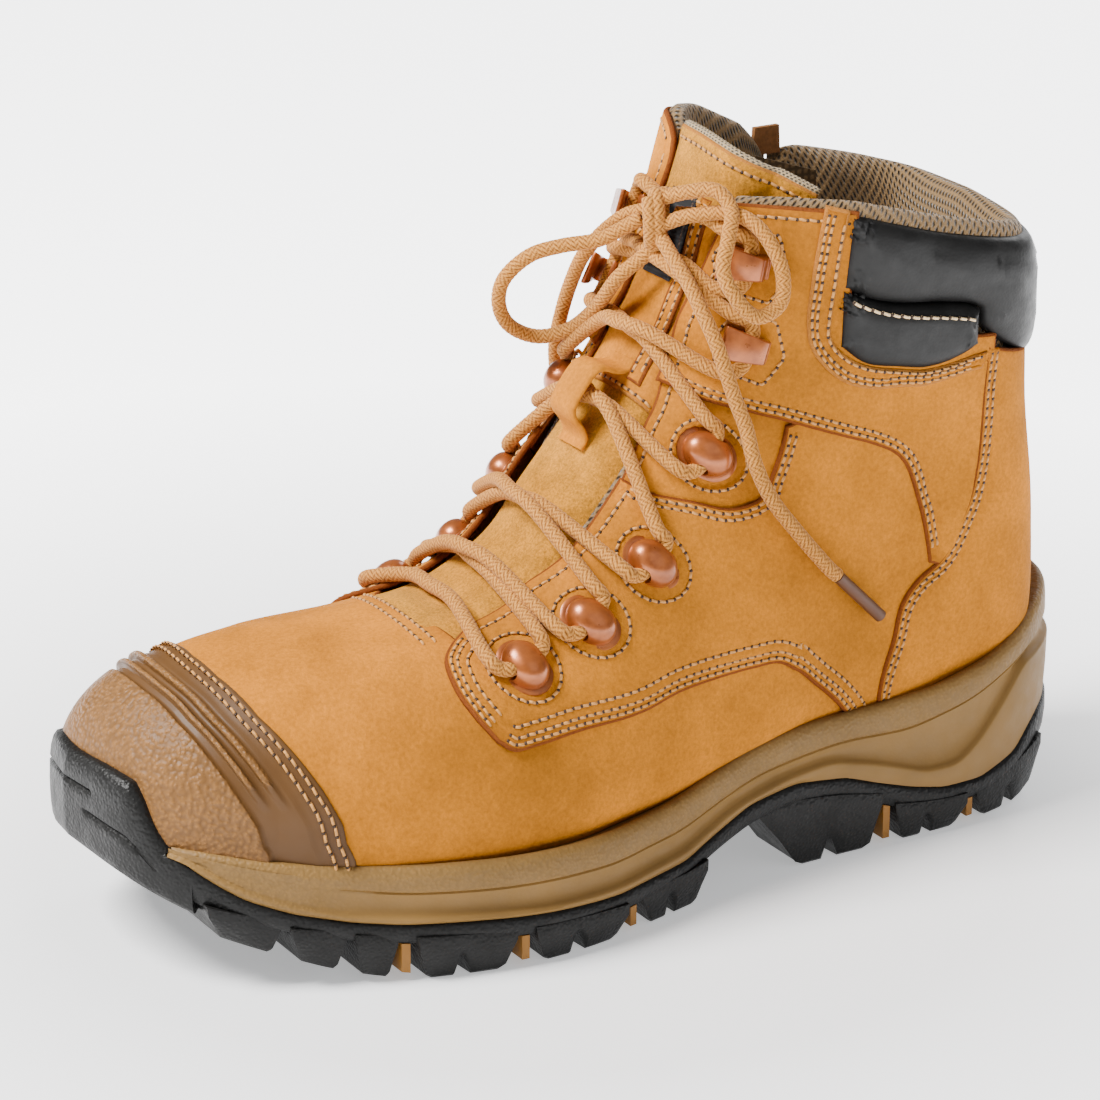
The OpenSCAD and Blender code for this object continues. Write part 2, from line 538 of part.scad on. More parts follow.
module zip_teeth() {
  count = floor((ZIP_HIGH - ZIP_LOW - 6) / tooth_pitch);
  color("goldenrod") for (i = [0:count - 1], side = [-1, 1], face = [-1, 1])
    translate([ZIP_X + (side > 0 ? 0.6 : -2.6), TAPE_Y + (face > 0 ? 0.4 : -1.2),
      ZIP_LOW + 3 + i * tooth_pitch + (side > 0 ? 0 : tooth_pitch / 2)]) cube([2, 0.8, 1.2]);
}

module zip_stops() {
  color("goldenrod") translate([ZIP_X - 2.6, TAPE_Y - 1.2, ZIP_LOW - 1.6]) cube([5.2, 2.4, 1.5]);
}

module zip_guard() {
  color("tan") shell(function (u, v) [mix(11.4, 15, u), mix(-0.56, -0.36, v)], 8, 4, -7.2, -8);
}

module zip_tab() {
  color("saddlebrown") translate([ZIP_X, TAPE_Y - 0.4, ZIP_HIGH + 0.2]) rotate([-90, 0, 0])
    translate([0, 0, -0.4]) linear_extrude(1.6) polygon([[-4.4, 0], [4.4, 0], [4, -8], [-4, -8]]);
}

SLIDER_Z = 164;
SLIDER_H = 12;
SLIDER_HALF = 4.4;
PULL_REACH = 5.8;
PULL_Y = TAPE_Y - PULL_REACH;
module zip_slider() {
  color("goldenrod") translate([ZIP_X, TAPE_Y, SLIDER_Z]) {
    translate([-SLIDER_HALF, -2.9, 0]) cube([2 * SLIDER_HALF, 1.2, SLIDER_H]);
    translate([-SLIDER_HALF, 1.7, 0]) cube([2 * SLIDER_HALF, 1.2, SLIDER_H]);
    for (x = [-SLIDER_HALF, SLIDER_HALF - 1.1], y = [-1.8, 0.8]) translate([x, y, 0]) cube([1.1, 1, SLIDER_H]);
    translate([-0.25, -2, 0]) cube([0.5, 4, SLIDER_H]);
    for (x = [-2.9, 1.9]) translate([x, -PULL_REACH, 6]) rotate([0, 90, 0]) cylinder(r = 1.5, h = 1, $fn = 24);
    for (x = [-2.9, 1.9]) translate([x, -PULL_REACH, 4.5]) cube([1, PULL_REACH - 2.5, 3]);
    translate([-2.5, -PULL_REACH, 6]) rotate([0, 90, 0]) cylinder(r = 0.6, h = 5, $fn = 24);
  }
}

module zip_pull() {
  color("goldenrod") translate([ZIP_X, PULL_Y, SLIDER_Z + 6]) difference() {
    union() {
      translate([-1.5, 0, 0]) rotate([0, 90, 0]) cylinder(r = 1.7, h = 3, $fn = 24);
      translate([-1.5, -0.6, -4]) cube([3, 1.2, 3]);
      translate([-3.5, -0.6, -pull_length]) cube([7, 1.2, pull_length - 3.9]);
    }
    translate([-2, 0, 0]) rotate([0, 90, 0]) cylinder(r = 0.95, h = 4, $fn = 24);
    translate([0, 2, 4 - pull_length]) rotate([90, 0, 0]) cylinder(r = 1.6, h = 4, $fn = 24);
  }
}

// ---- Bottom unit ----
// Sole outline: x, outer half width, inner half width.
OUTLINE = [[-146, 0, 0], [-142, 15, -15], [-132, 27, -26], [-117, 36, -34], [-96, 41, -39], [-70, 42, -41],
  [-40, 43, -41], [-15, 47, -42], [10, 54, -44], [33, 60, -47], [56, 61, -50], [80, 56, -50.5],
  [101, 48, -50], [118, 41, -47.5], [131, 33, -44.5], [141, 23, -38.5], [148, 11, -29.5], [152, -12, -12]];
OUTLINE_STEPS = 3;
module outline() {
  n = (len(OUTLINE) - 1) * OUTLINE_STEPS;
  rows = [for (i = [0:n]) along(OUTLINE, i / OUTLINE_STEPS)];
  polygon(concat([for (i = [0:n]) [rows[i][0], rows[i][1]]], [for (i = [n - 1:-1:1]) [rows[i][0], rows[i][2]]]));
}

// Heights along the sole, from heel to toe, as x and z.
MIDSOLE_TOP = [[-150, 60], [-138, 58], [-128, 55], [-118, 50], [-108, 47], [-89, 43.5], [-67, 42], [-46, 41.5],
  [-24, 38.5], [0, 32], [18, 30.5], [40, 30.5], [58, 31], [88, 32], [103, 33], [119, 35], [131, 37], [139, 38]];
MIDSOLE_BOTTOM = [[-150, 27], [-132, 24], [-125, 21], [-118, 16], [-104, 12.5], [-90, 13], [-79, 15.5], [-68, 19],
  [-57, 23], [-40, 25], [-24, 23], [-12, 18.5], [0, 14], [24, 12.5], [45, 13.5], [68, 15], [88, 16],
  [100, 17.5], [114, 20.5], [125, 24], [132, 27.5], [139, 31]];
TREAD_BASE = [[-150, 18], [-132, 15], [-118, 10], [-104, 7.5], [-90, 7.5], [-79, 9], [-68, 13], [-57, 17],
  [-40, 19.5], [-24, 17.5], [-12, 13.5], [0, 9], [24, 7.5], [45, 8.5], [68, 9.5], [88, 11], [100, 12.5],
  [112, 15], [125, 19], [132, 22], [140, 26], [147, 30], [155, 36]];
GROUND = [[-150, 18], [-146, 14], [-138, 7], [-128, 2], [-120, 0], [84, 0], [96, 2.2], [106, 5], [118, 9.5],
  [131, 14.5], [143, 21], [155, 29]];

// Slab of the sole between two height lines.
module between(upper, lower) {
  rotate([90, 0, 0]) translate([0, 0, -80]) linear_extrude(160)
    polygon(concat(lower, [for (i = [len(upper) - 1:-1:0]) upper[i]]));
}

// Room that the lasted upper fills.
module upper_envelope() {
  rings = [0.3, 0.7, 1.2, 2, 3, 4, 5, 6, 7, 8, 9, 9.6, 10.1, 10.5, 10.8, 11.1, 11.4, 11.7, 12, 12.3, 12.7, 13];
  sides = 36;
  clear = function (s, t) abs(t) > 0.86 && s < 11.3 ? 0.3 : overlay_step + 0.9;
  points = [for (s = rings, k = [0:sides - 1]) let (t = -1 + 2 * k / sides)
    skin(s, t) + normal(s, t) * clear(s, t)];
  n = len(rings) - 1;
  walls = [for (i = [0:n - 1], k = [0:sides - 1], f = [
    [i * sides + k, (i + 1) * sides + k, (i + 1) * sides + (k + 1) % sides],
    [i * sides + k, (i + 1) * sides + (k + 1) % sides, i * sides + (k + 1) % sides]]) f];
  polyhedron(points, concat(walls, [[for (k = [0:sides - 1]) k]],
    [[for (k = [sides - 1:-1:0]) n * sides + k]]));
}

SHANK_X = [-92, 18];
module shank_body(extra) {
  line = [[-95, 29.4], [-60, 28.6], [-40, 27.8], [-20, 26], [0, 24], [22, 21.2]];
  under = [for (p = line) p - [0, 1.6]];
  intersection() {
    translate([SHANK_X[0] - extra, -shank_width / 2 - extra, 0])
      cube([SHANK_X[1] - SHANK_X[0] + 2 * extra, shank_width + 2 * extra, 60]);
    rotate([90, 0, 0]) translate([0, 0, -40]) linear_extrude(80)
      polygon(concat([for (p = under) p - [0, extra]], [for (i = [len(line) - 1:-1:0]) line[i] + [0, extra]]));
  }
}

module shank() {
  color("silver") shank_body(0);
}

module midsole() {
  color([0.55, 0.47, 0.30]) difference() {
    intersection() {
      linear_extrude(80) outline();
      between(MIDSOLE_TOP, MIDSOLE_BOTTOM);
    }
    upper_envelope();
    shank_body(shank_clearance);
  }
}

// Lugs as x from, x to; each reaches in from the edge of the sole.
LUGS_EDGE = [[-132, -102], [-98.5, -73], [-69, -40], [-7, 17], [22.5, 53], [57.5, 85], [88.8, 99],
  [102, 114], [117.5, 134]];
// Middle lugs: x from, x to, half width.
LUGS_MIDDLE = [[-120, -104, 12], [-98, -80, 12], [-74, -58, 12], [-6, 14, 12], [20, 36, 18], [42, 58, 19],
  [64, 80, 19], [87, 99, 18], [104, 116, 14]];
module lug_blocks() {
  for (l = LUGS_EDGE, side = [-1, 1])
    translate([l[0], side > 0 ? 22 - 2 * (l[0] < -30 ? 3 : 0) : -80 - 2 * (l[0] < -30 ? -3 : 0), -1])
      cube([l[1] - l[0], 58, 60]);
  for (l = LUGS_MIDDLE)
    translate([0, 0, -1]) linear_extrude(60)
      polygon([[l[0] + 2, -l[2]], [l[1], -l[2] + 3], [l[1] + 2, 0], [l[1], l[2] - 3], [l[0] + 2, l[2]],
        [l[0], 0]]);
  for (y = [-50, -24.5, 1]) translate([137, y, -1]) cube([30, 22.5, 60]);
}

// The plate stops 0.2 short of the midsole and rises to the toe guard in front of it.
PLATE_TOP = concat([for (p = MIDSOLE_BOTTOM) p - [0, 0.2]],
  [[139.3, 31.2], [139.3, toe_guard_top], [155, toe_guard_top]]);

GUARD_WALL = 1.8;
// Room for the bumper behind the toe guard.
module guard_recess() {
  intersection() {
    translate([-GUARD_WALL, 0, 0]) linear_extrude(80) outline();
    between([[130, 75], [160, 75]], [[130, 27.2], [139.3, 29.5], [149, 35], [160, 41]]);
  }
}

module outsole() {
  color([0.12, 0.12, 0.12]) difference() {
    intersection() {
      linear_extrude(60) outline();
      between(PLATE_TOP, GROUND);
    }
    difference() {
      between(TREAD_BASE, [[-160, -5], [160, -5]]);
      lug_blocks();
    }
    guard_recess();
  }
}

RIBS = [-100.2, -71, 19.8, 55.2, 86.9];
module tread_inserts() {
  color("goldenrod") intersection() {
    linear_extrude(60) outline();
    between([for (p = TREAD_BASE) p - [0, 0.2]], [for (p = GROUND) p + [0, 2]]);
    for (x = RIBS, side = [-1, 1])
      translate([x - rib_width / 2, side > 0 ? 30 : -66, 0]) cube([rib_width, 36, 40]);
  }
}

module insole_board() {
  color("peru") shell(function (u, v) [mix(1.6, 11.7, u), mix(0.845, 1.155, v)], 20, 6, -0.3, -2.1);
}

module footbed() {
  color("dimgray") shell(function (u, v) [mix(1.9, 11.6, u), mix(0.86, 1.14, v)], 20, 6, -2.5, -7);
}

outsole();
tread_inserts();
midsole();
shank();
insole_board();
footbed();
steel_toe_cap();
toe_bumper();
vamp();
vamp_lining();
quarter_lateral();
quarter_medial_front();
quarter_medial_rear();
inset_lateral();
inset_medial();
ankle_band_lateral();
ankle_band_medial();
heel_counter();
counter_stiffener();
collar_strip();
collar_pad_upper();
collar_pad_lower();
collar_binding();
shaft_lining();
ankle_padding();
tongue();
tongue_lining();
tongue_gusset();
tongue_patch();
lace_keeper();
eyelet_domes_lateral();
eyelet_domes_medial();
lace_hooks_lateral();
lace_hooks_medial();
eyelet_washers();
lace_run();
lace_knot();
bow_loop_left();
bow_loop_right();
lace_tail_lateral();
lace_tail_medial();
aglet_lateral();
aglet_medial();
zip_tape();
zip_teeth();
zip_stops();
zip_guard();
zip_tab();
zip_slider();
zip_pull();
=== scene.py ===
"""Looks of a steel toe work boot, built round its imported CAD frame. Shapes are in millimetres
until mesh_object() turns them into metres; camera and lights are in metres."""
import math

import bmesh
import bpy
import numpy as np
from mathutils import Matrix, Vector, geometry


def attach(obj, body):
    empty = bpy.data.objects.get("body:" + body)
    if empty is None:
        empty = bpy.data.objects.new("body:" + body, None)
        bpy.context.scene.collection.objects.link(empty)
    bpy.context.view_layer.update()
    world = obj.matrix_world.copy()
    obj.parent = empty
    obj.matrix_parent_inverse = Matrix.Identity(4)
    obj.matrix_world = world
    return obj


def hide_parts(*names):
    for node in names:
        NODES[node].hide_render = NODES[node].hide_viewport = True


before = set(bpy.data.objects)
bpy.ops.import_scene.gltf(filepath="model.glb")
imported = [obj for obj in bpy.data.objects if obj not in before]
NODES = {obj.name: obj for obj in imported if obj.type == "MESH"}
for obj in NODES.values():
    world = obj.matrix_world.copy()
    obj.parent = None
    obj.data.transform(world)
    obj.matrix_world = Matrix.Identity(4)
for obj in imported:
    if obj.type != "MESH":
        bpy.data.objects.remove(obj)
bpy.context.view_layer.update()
MM = 0.001

# ---- Camera, light and floor ----
TARGET = Vector((0, -0.022, 0.080))
AZIMUTH = math.radians(60)
ELEVATION = math.radians(20)
DISTANCE = 1.3
LENS = 153.8
SENSOR = 36
KEY_POWER = 74
FILL_POWER = 6
RIM_POWER = 14
SKY = 0.22
BACK = Vector((math.cos(AZIMUTH) * math.cos(ELEVATION), math.sin(AZIMUTH) * math.cos(ELEVATION),
               math.sin(ELEVATION)))
RIGHT = Vector((-math.sin(AZIMUTH), math.cos(AZIMUTH), 0))
UP = Vector((0, 0, 1))


def aim(obj, place, target):
    obj.location = place
    obj.rotation_euler = (Vector(place) - Vector(target)).to_track_quat("Z", "Y").to_euler()


def add_camera():
    data = bpy.data.cameras.new("camera")
    data.lens = LENS
    data.sensor_width = SENSOR
    data.clip_end = 20
    camera = bpy.data.objects.new("camera", data)
    bpy.context.scene.collection.objects.link(camera)
    aim(camera, TARGET + BACK * DISTANCE, TARGET)
    bpy.context.scene.camera = camera


def add_light(name, direction, distance, size, power, colour=(1, 1, 1)):
    data = bpy.data.lights.new(name, "AREA")
    data.size = size
    data.energy = power
    data.color = colour
    light = bpy.data.objects.new(name, data)
    bpy.context.scene.collection.objects.link(light)
    aim(light, TARGET + direction.normalized() * distance, TARGET)


def add_studio():
    add_light("key", -RIGHT * 0.75 + BACK * 0.25 + UP * 0.95, 1.6, 0.6, KEY_POWER, (1, 0.99, 0.97))
    add_light("fill", RIGHT * 0.6 + BACK * 0.9 + UP * 0.5, 2.0, 1.4, FILL_POWER, (0.98, 0.99, 1))
    add_light("rim", RIGHT * 0.5 - BACK * 0.8 + UP * 0.7, 1.8, 0.9, RIM_POWER)
    world = bpy.data.worlds.new("studio")
    world.use_nodes = True
    world.node_tree.nodes["Background"].inputs["Color"].default_value = (0.93, 0.94, 0.96, 1)
    world.node_tree.nodes["Background"].inputs["Strength"].default_value = SKY
    bpy.context.scene.world = world


# ---- Node materials ----
class Look:
    """A principled material with short calls for the textures it is made of."""

    def __init__(self, name, roughness=0.6, **sockets):
        self.material = bpy.data.materials.new(name)
        self.material.use_nodes = True
        self.tree = self.material.node_tree
        self.shader = self.tree.nodes["Principled BSDF"]
        self.shader.inputs["Roughness"].default_value = roughness
        for key, value in sockets.items():
            self.shader.inputs[key.replace("_", " ")].default_value = value
        self.place = self.node("ShaderNodeTexCoord").outputs["Object"]
        self.bumped = None

    def node(self, kind, inputs=(), **settings):
        made = self.tree.nodes.new(kind)
        for key, value in settings.items():
            setattr(made, key, value)
        for key, value in dict(inputs).items():
            if hasattr(value, "links"):
                self.tree.links.new(value, made.inputs[key])
            else:
                made.inputs[key].default_value = value
        return made

    def uv(self):
        return self.node("ShaderNodeUVMap", uv_map="flat").outputs[0]

    def attribute(self, name):
        return self.node("ShaderNodeAttribute", attribute_name=name).outputs["Fac"]

    def math(self, operation, a, b=0.0):
        return self.node("ShaderNodeMath", {0: a, 1: b}, operation=operation).outputs[0]

    def noise(self, size, detail=3.0, roughness=0.5):
        """Noise whose features are about size millimetres across."""
        return self.node("ShaderNodeTexNoise", {"Vector": self.place, "Scale": 1000 / size,
                         "Detail": detail, "Roughness": roughness}).outputs["Fac"]

    def cells(self, size, feature="F1"):
        """Distance from the middle of cells about size millimetres across."""
        return self.node("ShaderNodeTexVoronoi", {"Vector": self.place, "Scale": 1000 / size},
                         feature=feature).outputs["Distance"]

    def ramp(self, fac, *stops):
        """Colour by fac; each stop is (place, colour)."""
        made = self.node("ShaderNodeValToRGB", {"Fac": fac})
        points = made.color_ramp.elements
        while len(points) < len(stops):
            points.new(0.5)
        for point, (place, colour) in zip(points, stops):
            point.position = place
            point.color = (*colour, 1) if hasattr(colour, "__len__") else (colour, colour, colour, 1)
        return made.outputs["Color"]

    def mix(self, fac, a, b, blend="MIX"):
        made = self.node("ShaderNodeMix", data_type="RGBA", blend_type=blend)
        for socket, value in ((0, fac), (6, a), (7, b)):
            if hasattr(value, "links"):
                self.tree.links.new(value, made.inputs[socket])
            else:
                made.inputs[socket].default_value = (*value, 1) if hasattr(value, "__len__") else value
        return made.outputs[2]

    def colour(self, value):
        if hasattr(value, "links"):
            self.tree.links.new(value, self.shader.inputs["Base Color"])
        else:
            self.shader.inputs["Base Color"].default_value = (*value, 1)

    def rough(self, value):
        self.tree.links.new(value, self.shader.inputs["Roughness"])

    def bump(self, height, depth, strength=1.0):
        """Relief of depth millimetres on top of what is there."""
        inputs = {"Height": height, "Distance": depth * MM, "Strength": strength}
        if self.bumped:
            inputs["Normal"] = self.bumped
        self.bumped = self.node("ShaderNodeBump", inputs).outputs["Normal"]
        self.tree.links.new(self.bumped, self.shader.inputs["Normal"])


def scaled(colour, k):
    return tuple(min(c * k, 1.0) for c in colour)


def nubuck(name, colour):
    look = Look(name, 0.82, Sheen_Weight=0.05, Sheen_Roughness=0.45, Specular_IOR_Level=0.09)
    look.shader.inputs["Sheen Tint"].default_value = (1.0, 0.66, 0.30, 1)
    cloud = look.ramp(look.noise(34, 4, 0.6), (0.32, scaled(colour, 0.74)), (0.52, colour),
                      (0.72, scaled(colour, 1.30)))
    nap = look.ramp(look.noise(1.1, 5, 0.65), (0.3, 0.74), (0.7, 1.12))
    specks = look.ramp(look.cells(24), (0.010, 0.30), (0.018, 1.0))
    nap = look.mix(1.0, nap, specks, "MULTIPLY")
    worn = look.mix(look.attribute("edge"), (1, 1, 1), (0.80, 0.72, 0.64))
    look.colour(look.mix(1.0, look.mix(1.0, cloud, nap, "MULTIPLY"), worn, "MULTIPLY"))
    look.bump(look.noise(0.9, 5, 0.75), 0.22)
    look.bump(look.cells(1.3), 0.10, 0.5)
    look.bump(look.noise(9, 3), 0.5, 0.5)
    return look.material


def suede(name, colour):
    look = Look(name, 0.95, Sheen_Weight=0.35, Sheen_Roughness=0.5, Specular_IOR_Level=0.08)
    look.shader.inputs["Sheen Tint"].default_value = (1.0, 0.70, 0.28, 1)
    nap = look.noise(0.8, 6, 0.75)
    patches = look.ramp(look.noise(7, 4, 0.6), (0.35, scaled(colour, 0.78)), (0.68, scaled(colour, 1.12)))
    look.colour(look.mix(1.0, patches, look.ramp(nap, (0.32, 0.5), (0.62, 1.25)), "MULTIPLY"))
    look.bump(nap, 0.35, 0.9)
    return look.material


def cut_edge(name, colour):
    look = Look(name, 0.95, Specular_IOR_Level=0.15)
    fibre = look.noise(0.6, 5, 0.8)
    look.colour(look.ramp(fibre, (0.3, scaled(colour, 0.55)), (0.65, colour)))
    look.bump(fibre, 0.5, 1.0)
    return look.material


def moulded(name, colour, pebble=0.0, roughness=0.5, pebble_size=1.5, pebble_painted_light=0.0, specular=0.35):
    """Moulded rubber or polyurethane; the pebbles grow with the attribute 'pebble'. Their tops are painted
    lighter and the gaps between them darker: painted light and shade on the pebbles.
    """
    look = Look(name, roughness, Specular_IOR_Level=specular)
    cloud = look.ramp(look.noise(22, 3), (0.3, scaled(colour, 0.88)), (0.7, scaled(colour, 1.08)))
    grains = look.cells(pebble_size, "SMOOTH_F1")
    mask = look.attribute("pebble")
    # Painted light and shade: pebble tops lighter, the gaps between pebbles darker.
    pebble_painted_light_and_shade = look.mix(mask, (1, 1, 1), look.ramp(grains, (0.1, 1.0 + pebble_painted_light), (0.6, 0.82 + pebble_painted_light * 0.45)))
    look.colour(look.mix(1.0, cloud, pebble_painted_light_and_shade, "MULTIPLY"))
    look.rough(look.ramp(look.noise(5, 3), (0.3, roughness - 0.07), (0.7, roughness + 0.08)))
    if pebble:
        look.bump(look.math("MULTIPLY", look.math("SUBTRACT", 1.0, grains), mask), pebble, 0.9)
    look.bump(look.noise(0.35, 3), 0.03, 0.6)
    return look.material


def collar_leather():
    look = Look("collar_leather", 0.40, Specular_IOR_Level=0.26)
    dark, light = (0.004, 0.0038, 0.0036), (0.010, 0.0096, 0.0092)
    look.colour(look.ramp(look.noise(18, 4, 0.6), (0.35, dark), (0.75, light)))
    look.rough(look.ramp(look.noise(7, 5, 0.7), (0.3, 0.36), (0.7, 0.58)))
    look.bump(look.cells(0.9), 0.06, 0.5)
    look.bump(look.noise(12, 2), 0.6, 0.5)
    return look.material


def mesh_fabric(name, colour, across=2.0, along=2.3):
    """Sandwich mesh: staggered oval holes in a knitted face. The holes are painted near black: painted shade
    in their depth.
    """
    look = Look(name, 0.9, Sheen_Weight=0.25, Specular_IOR_Level=0.2)
    parts = look.node("ShaderNodeSeparateXYZ", {0: look.uv()})
    u = look.math("MULTIPLY", parts.outputs[0], 1 / across)
    v = look.math("MULTIPLY", parts.outputs[1], 1 / along)
    row = look.math("MULTIPLY", look.math("MODULO", look.math("FLOOR", v), 2.0), 0.5)
    dx = look.math("SUBTRACT", look.math("FRACT", look.math("ADD", u, row)), 0.5)
    dy = look.math("SUBTRACT", look.math("FRACT", v), 0.5)
    reach = look.math("SQRT", look.math("ADD", look.math("MULTIPLY", dx, dx), look.math("MULTIPLY", dy, dy)))
    threads = look.noise(0.5, 2)
    # The holes' near-black colour is painted shade.
    knit_and_painted_hole_shade = look.mix(1.0, look.ramp(reach, (0.16, scaled(colour, 0.13)), (0.34, colour)),
                    look.ramp(threads, (0.3, 0.72), (0.7, 1.15)), "MULTIPLY")
    look.colour(knit_and_painted_hole_shade)
    look.bump(look.ramp(reach, (0.12, 0.0), (0.42, 1.0)), 0.9, 0.9)
    look.bump(threads, 0.12, 0.8)
    return look.material


def braid_look():
    look = Look("lace_braid", 0.8, Sheen_Weight=0.08, Specular_IOR_Level=0.15)
    rise = look.attribute("rise")
    # Colour by rise: strand tops painted light and the valleys between strands painted dark, as painted
    # highlight and shade.
    dark, middle, light = (0.09, 0.026, 0.003), (0.31, 0.115, 0.017), (0.58, 0.255, 0.050)
    strand_painted_light = look.ramp(rise, (0.1, dark), (0.5, middle), (0.95, light))
    look.colour(look.mix(1.0, strand_painted_light, look.ramp(look.noise(0.5, 3), (0.3, 0.82), (0.7, 1.12)), "MULTIPLY"))
    look.bump(look.noise(0.3, 2), 0.05, 0.6)
    return look.material


def thread_look(name, colour):
    look = Look(name, 0.6, Specular_IOR_Level=0.4)
    look.colour(look.ramp(look.noise(0.7, 2), (0.3, scaled(colour, 0.75)), (0.7, scaled(colour, 1.1))))
    return look.material


def metal(name, colour, roughness, patina):
    look = Look(name, roughness, Metallic=1.0)
    look.colour(look.ramp(look.noise(6, 4, 0.6), (0.3, scaled(colour, patina)), (0.6, colour)))
    look.rough(look.ramp(look.noise(2.5, 4), (0.3, roughness - 0.06), (0.7, roughness + 0.12)))
    look.bump(look.noise(0.5, 2), 0.015, 0.5)
    return look.material


def painted_copper():
    """Copper-toned lacquer: half metal, half paint."""
    look = Look("copper_lacquer", 0.34, Metallic=0.55, Coat_Weight=0.35, Coat_Roughness=0.18)
    look.colour(look.ramp(look.noise(5, 4, 0.6), (0.3, (0.22, 0.054, 0.010)), (0.65, (0.39, 0.105, 0.019))))
    look.rough(look.ramp(look.noise(3, 4), (0.3, 0.26), (0.7, 0.44)))
    look.bump(look.noise(0.6, 2), 0.02, 0.5)
    return look.material


def woven(name, colour, pitch=0.8):
    look = Look(name, 0.8, Specular_IOR_Level=0.3)
    waves = [look.node("ShaderNodeTexWave", {"Vector": look.place, "Scale": 1000 / pitch / 6.3,
                       "Distortion": 0.4}, bands_direction=axis).outputs["Fac"] for axis in ("X", "Z")]
    weave = look.math("MULTIPLY", waves[0], waves[1])
    look.colour(look.ramp(weave, (0.0, scaled(colour, 0.5)), (0.6, scaled(colour, 1.2))))
    look.bump(weave, 0.12, 0.8)
    return look.material


def floor_look():
    """White paper whose glow is painted light, like a lit studio sweep: it glows more with distance from the
    boot, so the dim patch round the boot is a painted shadow.
    """
    look = Look("floor", 0.7, Specular_IOR_Level=0.2)
    look.colour(look.ramp(look.noise(900, 2), (0.3, (0.80, 0.80, 0.812)), (0.7, (0.84, 0.84, 0.850))))
    away = look.node("ShaderNodeVectorMath", {0: look.place, 1: (0.02, 0.0, 0.0)}, operation="DISTANCE")
    far = look.math("MULTIPLY", away.outputs["Value"], 1.2)
    # Emission colour: painted light on the floor, dim near the boot as a painted contact shadow.
    painted_glow_and_shadow = look.ramp(far, (0.16, (0.13, 0.131, 0.132)), (0.52, (0.985, 0.99, 1.0)))
    look.tree.links.new(painted_glow_and_shadow, look.shader.inputs["Emission Color"])
    look.shader.inputs["Emission Strength"].default_value = 3.7
    return look.material


WHEAT = (0.515, 0.180, 0.0095)
LOOKS = {
    "nubuck": nubuck("nubuck", WHEAT),
    "nubuck_dark": nubuck("nubuck_dark", scaled(WHEAT, 0.93)),
    "suede": suede("suede", (0.50, 0.205, 0.0145)),
    "edge": cut_edge("cut_edge", (0.24, 0.062, 0.010)),
    "edge_light": cut_edge("cut_edge_light", (0.50, 0.19, 0.032)),
    "bumper": moulded("bumper", (0.098, 0.044, 0.0118), 0.60, 0.50, 1.15, 1.3, 0.24),
    "midsole": moulded("midsole", (0.235, 0.128, 0.033), 0.26, 0.56, 0.9, 0.0, 0.3),
    "outsole": moulded("outsole", (0.008, 0.0078, 0.0074), 0.30, 0.46, 0.9, 0.0, 0.22),
    "amber": moulded("amber", (0.30, 0.125, 0.012), 0.1, 0.5, 1.2),
    "collar": collar_leather(),
    "mesh": mesh_fabric("mesh_lining", (0.23, 0.138, 0.058)),
    "binding": mesh_fabric("mesh_binding", (0.42, 0.30, 0.16), 1.5, 1.3),
    "braid": braid_look(),
    "thread": thread_look("thread", (0.55, 0.255, 0.065)),
    "thread_cream": thread_look("thread_cream", (0.80, 0.58, 0.32)),
    # Dark cones at the needle holes are painted shade in the holes; the tongue label's dark thread uses the
    # same colour.
    "hole": thread_look("hole_shade_and_dark_thread", (0.045, 0.022, 0.010)),
    "copper": painted_copper(),
    "brass": metal("brass", (0.56, 0.40, 0.18), 0.34, 0.6),
    "steel": metal("steel", (0.60, 0.61, 0.63), 0.38, 0.8),
    "black_weave": woven("black_weave", (0.018, 0.018, 0.019), 0.7),
    "tape": woven("zip_tape", (0.10, 0.055, 0.02), 0.6),
    "brown_leather": nubuck("brown_leather", (0.20, 0.085, 0.03)),
    "cloth": woven("backing_cloth", (0.15, 0.092, 0.040), 1.1),
    "board": moulded("board", (0.40, 0.30, 0.18), 0.0, 0.85),
    "foam": woven("footbed_cover", (0.05, 0.05, 0.052), 1.4),
    "stiffener": moulded("stiffener", (0.10, 0.10, 0.10), 0.0, 0.6),
    "aglet": moulded("aglet", (0.085, 0.030, 0.010), 0.0, 0.4),
    "floor": floor_look(),
}


# ---- The upper's surface ----
# One row per section, from the toe over the instep to the topline: front ridge x and z,
# back ridge x and z, centre y, half width outside, half width inside, where it is widest.
SECTIONS = np.array([
    [148, 47, 148, 43, -14, 0, 0, 0.60],
    [146.5, 56, 147, 36, -14, 15, 13, 0.72],
    [141, 65, 143, 32, -12, 28, 23, 0.76],
    [131, 72, 132, 29, -10, 38, 31, 0.76],
    [115, 78, 116, 27, -7, 46, 37, 0.76],
    [94, 80, 96, 25, -4, 52, 42, 0.74],
    [70, 81, 72, 23, -1, 56, 45, 0.74],
    [47, 84, 44, 22, 0, 56, 45, 0.73],
    [30, 93, 14, 24, 0, 52, 43, 0.74],
    [16, 108, -20, 28, 0, 46, 41, 0.74],
    [3, 122, -58, 31, 0, 41, 39, 0.70],
    [-9, 138, -98, 32, 0, 37, 38, 0.62],
    [-18, 153, -127, 42, 0, 35, 37, 0.58],
    [-25, 167, -130, 80, 0, 34, 36, 0.56],
    [-30, 180, -126, 118, 0, 34, 36, 0.54],
    [-35, 193, -124, 163, 0, 36, 36, 0.52],
    [-40, 206, -121, 178, 0, 37, 37, 0.52]])
FRONT_FULLNESS = 2.2
BACK_FULLNESS = 4.0


